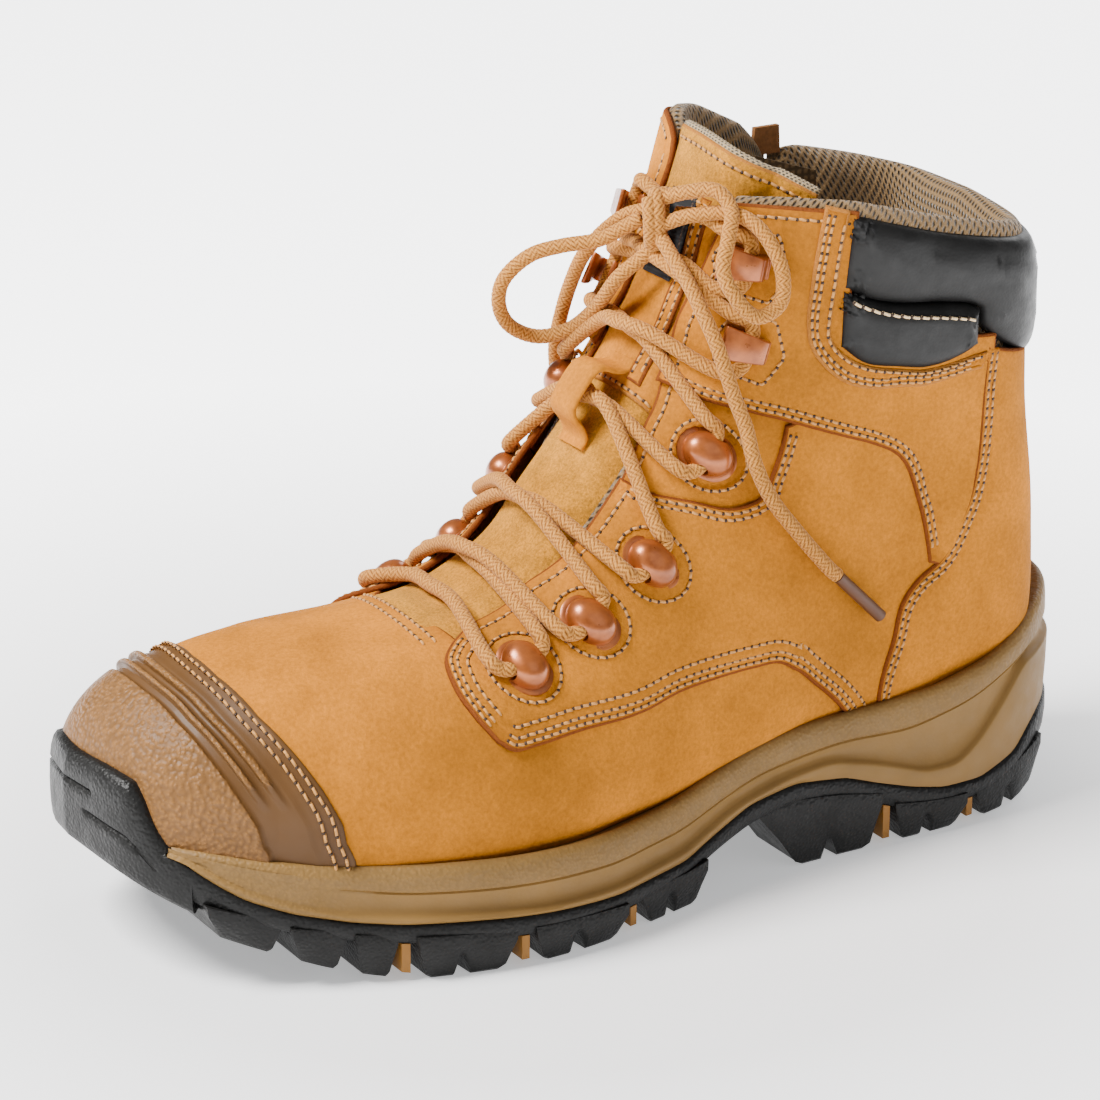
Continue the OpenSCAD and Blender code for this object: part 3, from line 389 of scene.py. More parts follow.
def along(table, x):
    """Smooth curve through the rows of a table; x runs from 0 to the last row's index."""
    table = np.asarray(table, float)
    x = np.asarray(x, float)
    i = np.clip(np.floor(x).astype(int), 0, len(table) - 2)
    f = (x - i)[..., None]
    full = np.vstack([2 * table[0] - table[1], table, 2 * table[-1] - table[-2]])
    a, b, c, d = full[i], full[i + 1], full[i + 2], full[i + 3]
    return 0.5 * (2 * b + (c - a) * f + (2 * a - 5 * b + 4 * c - d) * f**2 + (3 * b - a - 3 * c + d) * f**3)


def ramp(x, a, b):
    return np.clip((np.asarray(x, float) - a) / (b - a), 0, 1)


def skin(s, t):
    """Point of the upper: s counts sections, t goes from the front ridge (0) to the back ridge (1),
    positive on the outer side of the foot and negative on the inner side."""
    s, t = np.broadcast_arrays(np.asarray(s, float), np.asarray(t, float))
    r = along(SECTIONS, s)
    u = np.where(t > 1, t - 2, np.where(t < -1, t + 2, t))
    c = np.cos(np.abs(u) * math.pi)
    q = np.maximum(np.sin(np.abs(u) * math.pi), 0)
    front = FRONT_FULLNESS + np.where(u < 0, 1.8 * ramp(s, 8.5, 11), 0)
    p = np.where(c > 0, front, BACK_FULLNESS)
    k = (np.abs(c) ** p + q**p) ** (-1 / p)
    m = r[..., 7]
    w = np.where(c > 0, m * (1 - c * k), m - (1 - m) * c * k)
    x = r[..., 0] + (r[..., 2] - r[..., 0]) * w
    z = r[..., 1] + (r[..., 3] - r[..., 1]) * w
    y = r[..., 4] + np.where(u > 0, r[..., 5], -r[..., 6]) * q * k
    return np.stack([x, y, z], -1)


def unit(v):
    return v / np.maximum(np.linalg.norm(v, axis=-1, keepdims=True), 1e-9)


def s_dir(s, t):
    return unit(skin(s + 0.03, t) - skin(s - 0.03, t))


def normal(s, t):
    s = np.maximum(s, 0.2)
    return unit(np.cross(skin(s, t + 0.02) - skin(s, t - 0.02), s_dir(s, t)))


def at(s, t, off):
    """Point off millimetres above the leather; under the toe bumper the leather lies deeper."""
    s, t, off = np.broadcast_arrays(np.asarray(s, float), np.asarray(t, float), np.asarray(off, float))
    return skin(s, t) + normal(s, t) * (off - 1.5 * (1 - ramp(s, 4, 5)))[..., None]


def frame_at(s, t, off):
    """Place, direction along the throat towards the ankle, sideways, outward normal."""
    n = normal(s, t)
    d = s_dir(s, t)
    a = unit(d - n * np.sum(d * n, -1, keepdims=True))
    return at(s, t, off), a, np.cross(n, a), n


# ---- Mesh helpers ----
def mesh_object(name, points, faces, looks, *, slot, body="boot", smooth=True, replaced=(),
                uv=None, face_looks=None, **attributes):
    """A piece from points in millimetres, riding on a body."""
    mesh = bpy.data.meshes.new(name)
    mesh.from_pydata((np.asarray(points, float) * MM).tolist(), [], [list(map(int, f)) for f in faces])
    for key in looks:
        mesh.materials.append(LOOKS[key])
    if face_looks is not None:
        mesh.polygons.foreach_set("material_index", np.asarray(face_looks, np.int32))
    if uv is not None:
        layer = mesh.uv_layers.new(name="flat")
        loops = np.zeros(len(mesh.loops), np.int32)
        mesh.loops.foreach_get("vertex_index", loops)
        layer.data.foreach_set("uv", np.asarray(uv, np.float32)[loops].ravel())
    for key, values in attributes.items():
        made = mesh.attributes.new(key, "FLOAT", "POINT")
        made.data.foreach_set("value", np.asarray(values, np.float32))
    mesh.polygons.foreach_set("use_smooth", [smooth] * len(mesh.polygons))
    mesh.update()
    piece = bpy.data.objects.new(name, mesh)
    bpy.context.scene.collection.objects.link(piece)
    if body:
        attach(piece, body)
    if replaced:
        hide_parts(*replaced)
    return piece


def ring_faces(rows, ring, start=0, capped=True):
    """Faces of a body whose points are rings of one length, one ring after another."""
    faces = [(start + i * ring + j, start + i * ring + (j + 1) % ring,
              start + (i + 1) * ring + (j + 1) % ring,
              start + (i + 1) * ring + j) for i in range(rows - 1) for j in range(ring)]
    if capped:
        faces.append([start + j for j in reversed(range(ring))])
        faces.append([start + (rows - 1) * ring + j for j in range(ring)])
    return faces


def resample(points, step):
    """Points evenly spaced along a polyline."""
    points = np.asarray(points, float)
    lengths = np.concatenate([[0], np.cumsum(np.linalg.norm(np.diff(points, axis=0), axis=1))])
    n = max(int(round(lengths[-1] / step)), 1)
    want = np.linspace(0, lengths[-1], n + 1)
    return np.stack([np.interp(want, lengths, points[:, k]) for k in range(points.shape[1])], -1)


def swell(points):
    """Slow, small unevenness of handled leather, in millimetres."""
    x, y, z = points[:, 0], points[:, 1], points[:, 2]
    return (0.16 * np.sin(x / 9.1 + z / 13.0 + 0.7) + 0.13 * np.sin(z / 7.3 - x / 17.0 + y / 11.0)
            + 0.09 * np.sin(x / 4.7 + z / 5.9 + y / 6.1))


# ---- Panels sewn onto the surface ----
METRIC = np.array([20.0, 160.0])  # millimetres per unit of s and of t, roughly


def smooth_run(run):
    """A smooth curve through a run of (s, t), as points about 1.2 mm apart."""
    run = np.asarray(run, float)
    if len(run) == 2:
        dense = run[0] + (run[1] - run[0]) * np.linspace(0, 1, 40)[:, None]
    else:
        dense = along(run, np.linspace(0, len(run) - 1, 16 * (len(run) - 1)))
    solid = skin(dense[:, 0], dense[:, 1])
    length = np.concatenate([[0], np.cumsum(np.linalg.norm(np.diff(solid, axis=0), axis=1))])
    n = max(int(round(length[-1] / 1.2)), 2)
    want = np.linspace(0, length[-1], n + 1)
    return np.stack([np.interp(want, length, dense[:, k]) for k in (0, 1)], -1)


def inset_loop(loop, distance):
    """The closed loop moved towards its inside by a distance along the surface."""
    s, t = loop[:, 0], loop[:, 1]
    tangent = unit(skin(*np.roll(loop, -1, 0).T) - skin(*np.roll(loop, 1, 0).T))
    away = np.cross(normal(s, t), tangent)
    x, y = (loop * METRIC).T
    area = np.sum(x * np.roll(y, -1) - np.roll(x, -1) * y)
    inward = away * (1 if area < 0 else -1)
    along_s = (skin(s + 0.02, t) - skin(s - 0.02, t)) / 0.04
    along_t = (skin(s, t + 0.004) - skin(s, t - 0.004)) / 0.008
    ss = np.sum(along_s * along_s, -1)
    tt = np.sum(along_t * along_t, -1)
    st = np.sum(along_s * along_t, -1)
    si = np.sum(along_s * inward, -1)
    ti = np.sum(along_t * inward, -1)
    det = np.maximum(ss * tt - st * st, 1e-6)
    move = np.stack([(si * tt - ti * st) / det, (ti * ss - si * st) / det], -1)
    return loop + move * distance


def inside(points, loop):
    """Which points lie inside the closed loop."""
    px, py = points[:, 0][:, None], points[:, 1][:, None]
    ax, ay = loop.T
    bx, by = np.roll(loop, -1, 0).T
    edge_x = (bx - ax) * (py - ay) / np.where(by == ay, 1e-9, by - ay) + ax
    crossing = ((ay > py) != (by > py)) & (px < edge_x)
    return np.sum(crossing, 1) % 2 == 1


def ring_distances(rows, crown):
    """How far inside the edge the rings of points lie, closer together beside the thread rows."""
    if crown:
        return [0, 0.5, 1.2, 2.2, 3.6, 5.4]
    distances = [0, 0.3, 0.8]
    for d in rows:
        distances += [x for x in (d - 0.8, d, d + 0.8) if x > distances[-1] + 0.3 or x == d]
    return sorted(set(round(d, 2) for d in distances))


def distance_to(points, loop):
    return np.min(np.linalg.norm(points[:, None] - skin(*loop.T)[None], axis=2), 1)


def inner_grid(loop, step_mm, clear):
    """A regular grid of (s, t) inside the loop, more than clear millimetres from its edge."""
    s_min, t_min = loop.min(0)
    s_max, t_max = loop.max(0)
    grid = np.stack(np.meshgrid(np.arange(s_min, s_max, step_mm / METRIC[0]),
                                np.arange(t_min, t_max, step_mm / METRIC[1])), -1).reshape(-1, 2)
    grid = grid[inside(grid, loop)]
    return grid[distance_to(skin(*grid.T), loop) > clear]


def panel(name, runs, top, thick, looks=("nubuck", "edge"), *, slot="leather_nubuck", replaced=(),
          stitches=None, crown=None, edge_round=0.5, shape=None, thread="thread", uneven=1.0, step_mm=2.6):
    """A sewn piece of the upper. runs are lists of (s, t) that meet in corners and close a loop.
    stitches maps a run's number to the distances of its thread rows from the edge.
    crown(d) gives extra height d millimetres from the edge; shape(s, t) gives more height."""
    stitches = stitches or {}
    parts = [smooth_run(run) for run in runs]
    loop = np.vstack([p[:-1] for p in parts])
    owner = np.concatenate([[k] * (len(p) - 1) for k, p in enumerate(parts)])
    distances = ring_distances(sorted({d for ds in stitches.values() for d in ds}), crown)
    rings = [loop if d == 0 else inset_loop(loop, d) for d in distances]
    n = len(loop)
    flat = np.vstack(rings + [inner_grid(loop, step_mm, distances[-1] + 1.3)]) * METRIC
    edges = [(k * n + i, k * n + (i + 1) % n) for k in range(len(rings)) for i in range(n)]
    verts, _, faces, origin, _, _ = geometry.delaunay_2d_cdt(
        [Vector(p) for p in flat], edges, [list(range(n))], 1, 1e-4)
    st = np.array([tuple(v) for v in verts]) / METRIC
    base = skin(*st.T)
    depth_in = distance_to(base, loop)
    height = np.zeros(len(st))
    edge = np.exp(-depth_in / 2.2)
    for i, sources in enumerate(origin):
        ring = min((k // n for k in sources if k < n * len(rings)), default=None)
        if ring is None:
            continue
        depth_in[i] = distances[ring]
        if distances[ring] in stitches.get(owner[min(sources) % n], ()):
            height[i] -= 0.32
    if crown:
        height += crown(depth_in)
    else:
        height -= edge_round * np.clip(1 - depth_in / 0.8, 0, 1) ** 2
    height += top + uneven * swell(base) * np.clip(depth_in / 4, 0, 1)
    low = at(*st.T, np.full(len(st), top - thick))
    if shape:
        extra = shape(*st.T)
        height += extra
        low += normal(*st.T) * extra[:, None]
    m = len(st)
    rim = dict.fromkeys((a, b) for f in faces for a, b in zip(f, list(f[1:]) + [f[0]]))
    walls = [[b, a, a + m, b + m] for a, b in rim if (b, a) not in rim]
    fronts = [list(f) for f in faces]
    backs = [[i + m for i in reversed(f)] for f in faces]
    everything = fronts + backs + walls
    first = base[fronts[0][:3]]
    if np.dot(np.cross(first[1] - first[0], first[2] - first[0]), normal(*st[fronts[0][0]])) < 0:
        everything = [list(reversed(f)) for f in everything]
    on_edge = depth_in < 0.85
    kinds = [1 if all(on_edge[i] for i in f) else 0 for f in fronts] + [0] * len(backs) + [1] * len(walls)
    piece = mesh_object(name, np.vstack([at(*st.T, height), low]), everything, looks, slot=slot,
                        replaced=replaced, uv=np.vstack([st, st]) * METRIC, face_looks=kinds,
                        edge=np.concatenate([edge, edge]))
    for run, ds in stitches.items():
        for d in ds:
            path = inset_loop(loop, d)[owner == run]
            sewn(f"{name}_thread_{run}_{int(d * 10)}", path[2:-2], top - 0.3, thread=thread, shape=shape)
    return piece


# ---- Stitching ----
THREAD_RADIUS = 0.42
HOLE_RADIUS = 0.55
THREAD_SIDES = 6
THREAD_AT = np.array([0.0, 0.12, 0.5, 0.88, 1.0])  # places along one stitch
THREAD_LIFT = np.array([-0.42, 0.12, 0.34, 0.12, -0.42])  # and how high the thread lies there


def sewn(name, path, off, pitch=2.6, thread="thread", shape=None):
    """One row of stitches along a path of (s, t), each a bent thread with a needle hole at its start; the
    hole is a small dark cone, painted shade.
    """
    if len(path) < 4:
        return
    extra = shape(path[:, 0], path[:, 1]) if shape else 0
    line = at(path[:, 0], path[:, 1], off + extra + swell(skin(*path.T)) * 0.6)
    up = normal(*path.T)
    lengths = np.concatenate([[0], np.cumsum(np.linalg.norm(np.diff(line, axis=0), axis=1))])
    count = int(lengths[-1] / pitch)
    points, faces, kinds = [], [], []
    sides = THREAD_SIDES
    for k in range(count):
        where = (k + 0.07 + 0.86 * THREAD_AT) * lengths[-1] / count
        centre = np.stack([np.interp(where, lengths, line[:, j]) for j in range(3)], -1)
        n = unit(np.stack([np.interp(where, lengths, up[:, j]) for j in range(3)], -1))
        way = unit(centre[-1] - centre[0])
        side = unit(np.cross(way, n))
        lean = 0.12 * side * (THREAD_AT[:, None] - 0.5) * 2
        centre = centre + n * THREAD_LIFT[:, None] + lean
        start = len(points)
        for j in range(5):
            for a in range(sides):
                angle = 2 * math.pi * a / sides
                around = math.cos(angle) * side[j] + 0.8 * math.sin(angle) * n[j]
                points.append(centre[j] + THREAD_RADIUS * around)
        for j in range(4):
            for a in range(sides):
                b = (a + 1) % sides
                faces.append((start + j * sides + a, start + (j + 1) * sides + a,
                              start + (j + 1) * sides + b, start + j * sides + b))
                kinds.append(0)
        faces.append([start + a for a in range(sides)])
        faces.append([start + 4 * sides + a for a in reversed(range(sides))])
        kinds += [0, 0]
        # The needle hole: a small dark cone on the leather, painted shade in the hole.
        hole = centre[0] - n[0] * THREAD_LIFT[0] + n[0] * 0.30 - way * 0.12
        start = len(points)
        points.append(hole + n[0] * 0.06)
        for a in range(sides):
            angle = 2 * math.pi * a / sides
            points.append(hole + HOLE_RADIUS * (math.cos(angle) * side[0] + math.sin(angle) * way))
        points.append(hole - n[0] * 0.5)
        for a in range(sides):
            b = (a + 1) % sides
            faces.append((start, start + 1 + a, start + 1 + b))
            faces.append((start + sides + 1, start + 1 + b, start + 1 + a))
            kinds += [1, 1]
    if points:
        mesh_object(name, points, faces, (thread, "hole"), slot="lace", face_looks=kinds)


# ---- Leather pieces ----
# Height of the outer face of each layer above the skin, in millimetres.
QUARTER_TOP = 1.5
BAND_TOP = 2.3
COUNTER_TOP = 2.4
STRIP_TOP = 3.2
TWIN = [1.6, 3.3]  # twin thread rows, as distances from the edge
ZIP_ROW = [2.2]
def mirror(run):
    return [(s, -t) for s, t in run]


def side_t(s, x, side):
    """The t at which section s of that side has that x."""
    ts = np.linspace(0.12, 0.95, 240)
    xs = skin(np.full(240, s), ts * side)[:, 0]
    return side * float(np.interp(-x, -xs, ts))


# Outlines on the skin as (s, t).
EYESTAY = [(9.80, .148), (8.96, .153), (8.51, .145), (7.89, .12), (7.46, .123), (6.94, .120), (6.72, .130)]
QUARTER_FRONT = [(6.72, .130), (6.50, .150), (6.33, .180), (6.28, .237), (6.36, .288), (6.51, .338)]
QUARTER_LOW = [(6.51, .338), (6.69, .363), (6.99, .367), (7.56, .378), (8.36, .412), (8.89, .427),
               (9.64, .462), (9.97, .493), (10.09, .583), (10.17, .675), (10.2, .80), (10.2, .88)]
QUARTER_INSET = [(11.87, .307), (11.62, .313), (11.17, .323), (11.02, .327), (10.79, .32), (10.52, .298),
                 (10.27, .257), (9.94, .20), (9.80, .148)]
BAND_LOW = [(11.12, .113), (11.32, .195), (11.67, .263), (11.89, .30), (12.19, .358), (12.47, .423),
            (12.54, .468), (12.27, .50), (12.02, .527), (11.87, .545)]
BAND_FRONT = [(14.42, .137), (13.5, .117), (12.39, .10), (12.04, .098), (11.64, .107), (11.12, .113)]
COUNTER_EDGE = [(14.18, .655), (13.4, .63), (12.82, .61), (12.42, .583), (11.99, .56), (11.64, .545),
                (11.29, .555), (10.97, .593), (10.69, .632), (10.49, .685), (10.42, .75), (10.45, .80)]
STRIP_OUT = [(14.90, .308), (13.95, .305), (13.25, .303), (12.93, .318), (12.84, .36), (13.0, .41),
             (13.3, .468), (13.85, .603), (13.98, .64)]
STRIP_IN = [(14.14, .652), (14.02, .612), (13.77, .545), (13.45, .457), (13.22, .398), (13.17, .362),
            (13.27, .343), (13.52, .342), (14.0, .347), (14.92, .352)]
BUMPER_REAR = [(5.05, .86), (4.97, .74), (4.91, .617), (4.76, .463), (4.58, .392), (4.36, .318),
               (4.08, .222), (3.90, .098), (3.88, 0), (3.95, -.098), (4.10, -.222), (4.36, -.318),
               (4.58, -.392), (4.76, -.463), (4.91, -.617), (4.97, -.74), (5.05, -.86)]
# Rear edge of the pebbled part, as (t, s).
PEBBLE_EDGE = [(.0, 2.83), (.06, 2.84), (.193, 3.0), (.297, 3.25), (.385, 3.5), (.457, 3.73), (.553, 3.86),
               (.9, 3.95)]
ZIP_FRONT = -70.8
ZIP_REAR = -81.2
RIB_AT = (0.24, 0.46)  # where the two ribs lie across the bumper's band
RIB_HALF = 0.062
BUMPER_OFF = 2.6
BAND_STEPS = [(1.3, 0, .05), (0.3, .60, .64), (0.5, .975, 1.0)]  # how far the band drops, and where


def add_bumper():
    """Moulded cap: pebbled front, then a smooth band with two pebbled ribs and a stitched flange."""
    band = [0, .02, .05, .09, .12, .15, .17, .19, .21, .23, .25, .27, .29, .32, .36, .38, .40, .42, .44, .46,
            .48, .50, .53, .57, .60, .64, .70, .76, .82, .88, .94, .975, 1.0]
    rows, pebbles = [], []
    for t in np.linspace(-.86, .86, 200):
        reach = abs(t)
        edge = float(np.interp(reach, *zip(*PEBBLE_EDGE)))
        rear = float(np.interp(t, *zip(*[(p[1], p[0]) for p in reversed(BUMPER_REAR)])))
        present = 1 - float(ramp(reach, 0.36, 0.42))
        ring, mask = [], []
        for s in np.linspace(0.12, edge - 0.04, 26):
            ring.append(at(s, t, BUMPER_OFF))
            mask.append(1.0)
        for f in band:
            rib = max(0.0, *(1 - (abs(f - middle) / RIB_HALF) ** 4 for middle in RIB_AT)) * present
            drop = sum(height * float(ramp(f, start, end)) for height, start, end in BAND_STEPS)
            ring.append(at(edge + f * (rear - edge), t, BUMPER_OFF - drop + 2.0 * rib))
            mask.append(max(1 - float(ramp(f, 0, .03)), 1.0 if rib > .8 else 0.0))
        for f in np.linspace(1, 0, 8):
            ring.append(at(0.12 + f * (rear - 0.12), t, 0.1))
            mask.append(0.0)
        rows.append(ring)
        pebbles.append(mask)
    loft("toe_bumper_moulding", rows, ("bumper",), slot="tpu_bumper", replaced=["toe_bumper"], pebble=pebbles)
    rear_line = smooth_run(BUMPER_REAR)
    for k, inset in enumerate((2.0, 4.8)):
        row = rear_line - np.array([inset / 20, 0])
        sewn(f"bumper_thread_{k}", row[3:-3], 1.45, 3.0)


def add_vamp():
    rear = [(10.6, .86), (10.5, .55), (9.6, .41), (8.6, .375), (7.8, .345), (7.2, .33), (6.9, .27),
            (6.75, .2), (6.66, .14), (6.60, .10), (6.52, .05), (6.46, 0), (6.44, -.05), (6.50, -.10),
            (6.66, -.14), (6.75, -.2), (6.9, -.27), (7.2, -.33), (7.8, -.345), (8.6, -.375), (9.6, -.41),
            (10.5, -.55), (10.6, -.86)]
    panel("vamp_leather",
          [[(3.4, -.86), (3.3, -.4), (3.3, 0), (3.3, .4), (3.4, .86)], [(3.4, .86), (7, .86), (10.6, .86)],
           rear, [(10.6, -.86), (7, -.86), (3.4, -.86)]],
          0.0, 1.4, replaced=["vamp"])
    for d in (0.10, 0.24):
        across_throat = np.linspace(-.13, .13, 40)
        throat = np.stack([6.46 - d + 3.2 * across_throat ** 2, across_throat], -1)
        sewn(f"throat_thread_{int(d * 100)}", throat, 0.0)


def under_pull(s, t):
    """The leather lies flatter where the zip pull comes down to."""
    reach = np.where(t < 0, -t, 2 - t)
    return -1.5 * ramp(reach, 0.40, 0.47) * (1 - ramp(s, 12.5, 13.0)) * (reach < 0.75)


def zip_edge(x, start, end, count):
    """Points at one x along the zip's side, from section start to section end."""
    return [(s, side_t(s, x, -1)) for s in np.linspace(start, end, count)]


def zip_foot(x, z):
    """The section at which the skin has height z beside the zip."""
    sections = np.linspace(10.8, 12.9, 40)
    return float(np.interp(z, [skin(s, side_t(s, x, -1))[2] for s in sections], sections))


def add_quarters():
    stitches = {0: [3.6], 1: TWIN + [6.0], 2: TWIN + [6.0], 6: TWIN}
    under = [(10.2, .88), (10.95, .88)]
    behind = [(10.95, .88), (11.0, .72), (11.3, .64), (11.8, .605), (12.4, .60), (12.8, .58)]
    beneath = [(12.8, .58), (12.95, .50), (12.9, .43), (12.6, .375), (12.2, .33), (11.87, .307)]
    panel("quarter_leather_lateral",
          [EYESTAY, QUARTER_FRONT, QUARTER_LOW, under, behind, beneath, QUARTER_INSET],
          QUARTER_TOP, 1.5, replaced=["quarter_lateral"], stitches=stitches)
    edge = zip_edge(ZIP_FRONT, zip_foot(ZIP_FRONT, 63), 12.9, 7)
    rear_under = [(10.95, -.88), (11.0, -.72), (11.3, -.64), (11.65, -.60), edge[0]]
    top = [edge[-1], (12.9, -.43), (12.6, -.375), (12.2, -.33), (11.87, -.307)]
    panel("quarter_leather_medial",
          [mirror(EYESTAY), mirror(QUARTER_FRONT), mirror(QUARTER_LOW), mirror(under), rear_under, edge, top,
           mirror(QUARTER_INSET)],
          QUARTER_TOP, 1.5, replaced=["quarter_medial_front"],
          stitches={0: [3.6], 1: TWIN, 2: TWIN, 7: TWIN, 5: ZIP_ROW}, shape=under_pull)
    rear_edge = zip_edge(ZIP_REAR, 15.05, zip_foot(ZIP_REAR, 64), 9)
    panel("quarter_leather_medial_rear",
          [rear_edge, [rear_edge[-1], (11.6, -.59), (12.4, -.62), (13.4, -.66), (14.2, -.67)],
           [(14.2, -.67), (14.6, -.635), (15.05, -.628)], [(15.05, -.628), rear_edge[0]]],
          1.0, 1.0, replaced=["quarter_medial_rear"], stitches={0: ZIP_ROW},
          shape=under_pull)


def add_insets():
    inset = [[(9.5, .155), (9.9, .147), (10.52, .132), (10.87, .128), (11.4, .110)],
             [(11.4, .110), (12.2, .37)], [(12.2, .37), (9.9, .37)], [(9.9, .37), (9.5, .155)]]
    panel("inset_leather_lateral", list(reversed([list(reversed(r)) for r in inset])), 0.25, 0.9,
          ("nubuck_dark", "edge"), slot="leather_nubuck", replaced=["inset_lateral"], stitches={3: [3.0]})
    panel("inset_leather_medial", [mirror(r) for r in inset], 0.25, 0.9, ("nubuck_dark", "edge"),
          slot="leather_nubuck", replaced=["inset_medial"], stitches={0: [3.0]})


def add_bands():
    back = [(11.87, .545), (12.1, .60), (12.8, .64), (13.5, .66), (14.3, .675)]
    beneath = [(14.3, .675), (14.15, .60), (13.9, .52), (13.6, .43), (13.5, .39), (13.9, .375), (14.93, .37)]
    topline = [(14.93, .37), (14.83, .31), (14.66, .228), (14.42, .137)]
    panel("ankle_band_leather_lateral", [BAND_LOW, back, beneath, topline, BAND_FRONT], BAND_TOP, 1.3,
          replaced=["ankle_band_lateral"],
          stitches={0: TWIN, 3: [3.0], 4: [3.6]})
    front_edge = zip_edge(ZIP_FRONT, 15.12, 12.45, 9)
    low = [front_edge[-1], (12.30, -.38), (11.89, -.30), (11.67, -.263), (11.32, -.195), (11.12, -.113)]
    front = [(11.12, -.113), (11.64, -.107), (12.04, -.098), (12.39, -.10), (13.5, -.105), (14.6, -.10),
             (15.1, -.115)]
    inner_top = [(15.1, -.115), (15.35, -.15), (15.52, -.20), (15.55, -.30), (15.3, -.42), front_edge[0]]
    panel("ankle_band_leather_medial", [front_edge, low, front, inner_top], BAND_TOP, 1.3,
          replaced=["ankle_band_medial"],
          stitches={0: ZIP_ROW, 1: TWIN, 2: [3.6], 3: [3.0]})


def add_counter():
    bottom = [(10.45, .80), (11.3, .86), (11.9, .93), (12.05, 1.0), (11.9, 1.07), (11.3, 1.14), (10.45, 1.20)]
    medial = [(s, 2 - t) for s, t in reversed(COUNTER_EDGE)]
    top = [(14.18, 1.345), (14.3, 1.2), (14.33, 1.0), (14.3, .80), (14.18, .655)]
    panel("heel_counter_leather", [COUNTER_EDGE, bottom, medial, top], COUNTER_TOP, 1.5, 
          replaced=["heel_counter"], stitches={0: [1.8, 3.6], 2: [1.8, 3.6]},
          shape=lambda s, t: 1.38 * under_pull(s, np.where(t > 1, t, 0)), uneven=0.6)


def add_strip():
    panel("collar_strip_leather",
          [STRIP_OUT, [STRIP_OUT[-1], STRIP_IN[0]], STRIP_IN, [STRIP_IN[-1], STRIP_OUT[0]]],
          STRIP_TOP, 1.2, ("nubuck", "edge_light"), replaced=["collar_strip"],
          stitches={0: [1.3, 2.7], 2: [0.9]})


# ---- Collar ----
PAD_LOW = [(13.22, .357), (13.22, .398), (13.45, .457), (13.77, .545), (14.02, .605), (14.16, .635)]
PAD_MIDDLE = [(13.98, .357), (14.05, .415), (14.27, .515), (14.40, .60), (14.42, .636)]
PAD_TOP = [(14.86, .357), (14.90, .453), (14.95, .58), (15.12, .80), (15.32, 1.0), (15.32, 1.2),
           (15.18, 1.372)]


def pad_crown(height, width):
    def crown(d):
        return height * np.sqrt(1 - (1 - np.clip(d / width, 0, 1)) ** 2)
    return crown


def add_pads():
    rear_low = [(14.42, .640), (14.28, .66), (14.25, .80), (14.28, 1.0), (14.25, 1.2), (14.22, 1.372)]
    upper = panel("collar_pad_upper_leather",
                  [PAD_MIDDLE + [(14.42, .640)], rear_low, [(14.22, 1.372), (15.18, 1.372)],
                   list(reversed(PAD_TOP)), [PAD_TOP[0], PAD_MIDDLE[0]]],
                  0.5, 2.2, ("collar", "collar"), slot="collar_leather", replaced=["collar_pad_upper"],
                  crown=pad_crown(5.2, 13.0), step_mm=2.0, uneven=1.6)
    lower = panel("collar_pad_lower_leather",
                  [PAD_LOW, [PAD_LOW[-1], PAD_MIDDLE[-1]], list(reversed(PAD_MIDDLE)),
                   [PAD_MIDDLE[0], PAD_LOW[0]]],
                  0.5, 2.2, ("collar", "collar"), slot="collar_leather", replaced=["collar_pad_lower"],
                  crown=pad_crown(4.4, 6.0), step_mm=2.0, uneven=1.4)
    seam = smooth_run(PAD_MIDDLE) - np.array([0.09, 0])
    sewn("collar_pad_thread", seam[2:-3], 5.1, 3.0, "thread_cream")


# Topline from the outer eyestay round the heel to the inner one, as (t, s).
TOPLINE = [(.13, 14.42), (.228, 14.67), (.31, 14.83), (.355, 14.92), (.453, 14.97), (.58, 15.02),
           (.80, 15.2), (1, 15.4), (1.2, 15.4), (1.38, 15.25), (1.46, 15.2), (1.50, 15.1), (1.53, 14.75),
           (1.56, 15.1), (1.60, 15.4), (1.70, 15.62), (1.80, 15.56), (1.88, 15.0)]


def loft(name, rows, looks, *, slot, replaced=(), smooth_angle=None, uv=None, **attributes):
    """A closed body through rows of cross-sections, each a closed ring of the same number of points."""
    rows = np.asarray(rows, float)
    flat = {k: np.asarray(v, float).ravel() for k, v in attributes.items()}
    piece = mesh_object(name, rows.reshape(-1, 3), ring_faces(*rows.shape[:2]), looks, slot=slot,
                        replaced=replaced, uv=None if uv is None else np.asarray(uv, float).reshape(-1, 2),
                        **flat)
    turn_outward(piece)
    if smooth_angle:
        piece.data.set_sharp_from_angle(angle=math.radians(smooth_angle))
    return piece


def turn_outward(piece):
    work = bmesh.new()
    work.from_mesh(piece.data)
    bmesh.ops.recalc_face_normals(work, faces=work.faces)
    work.to_mesh(piece.data)
    work.free()
    piece.data.update()


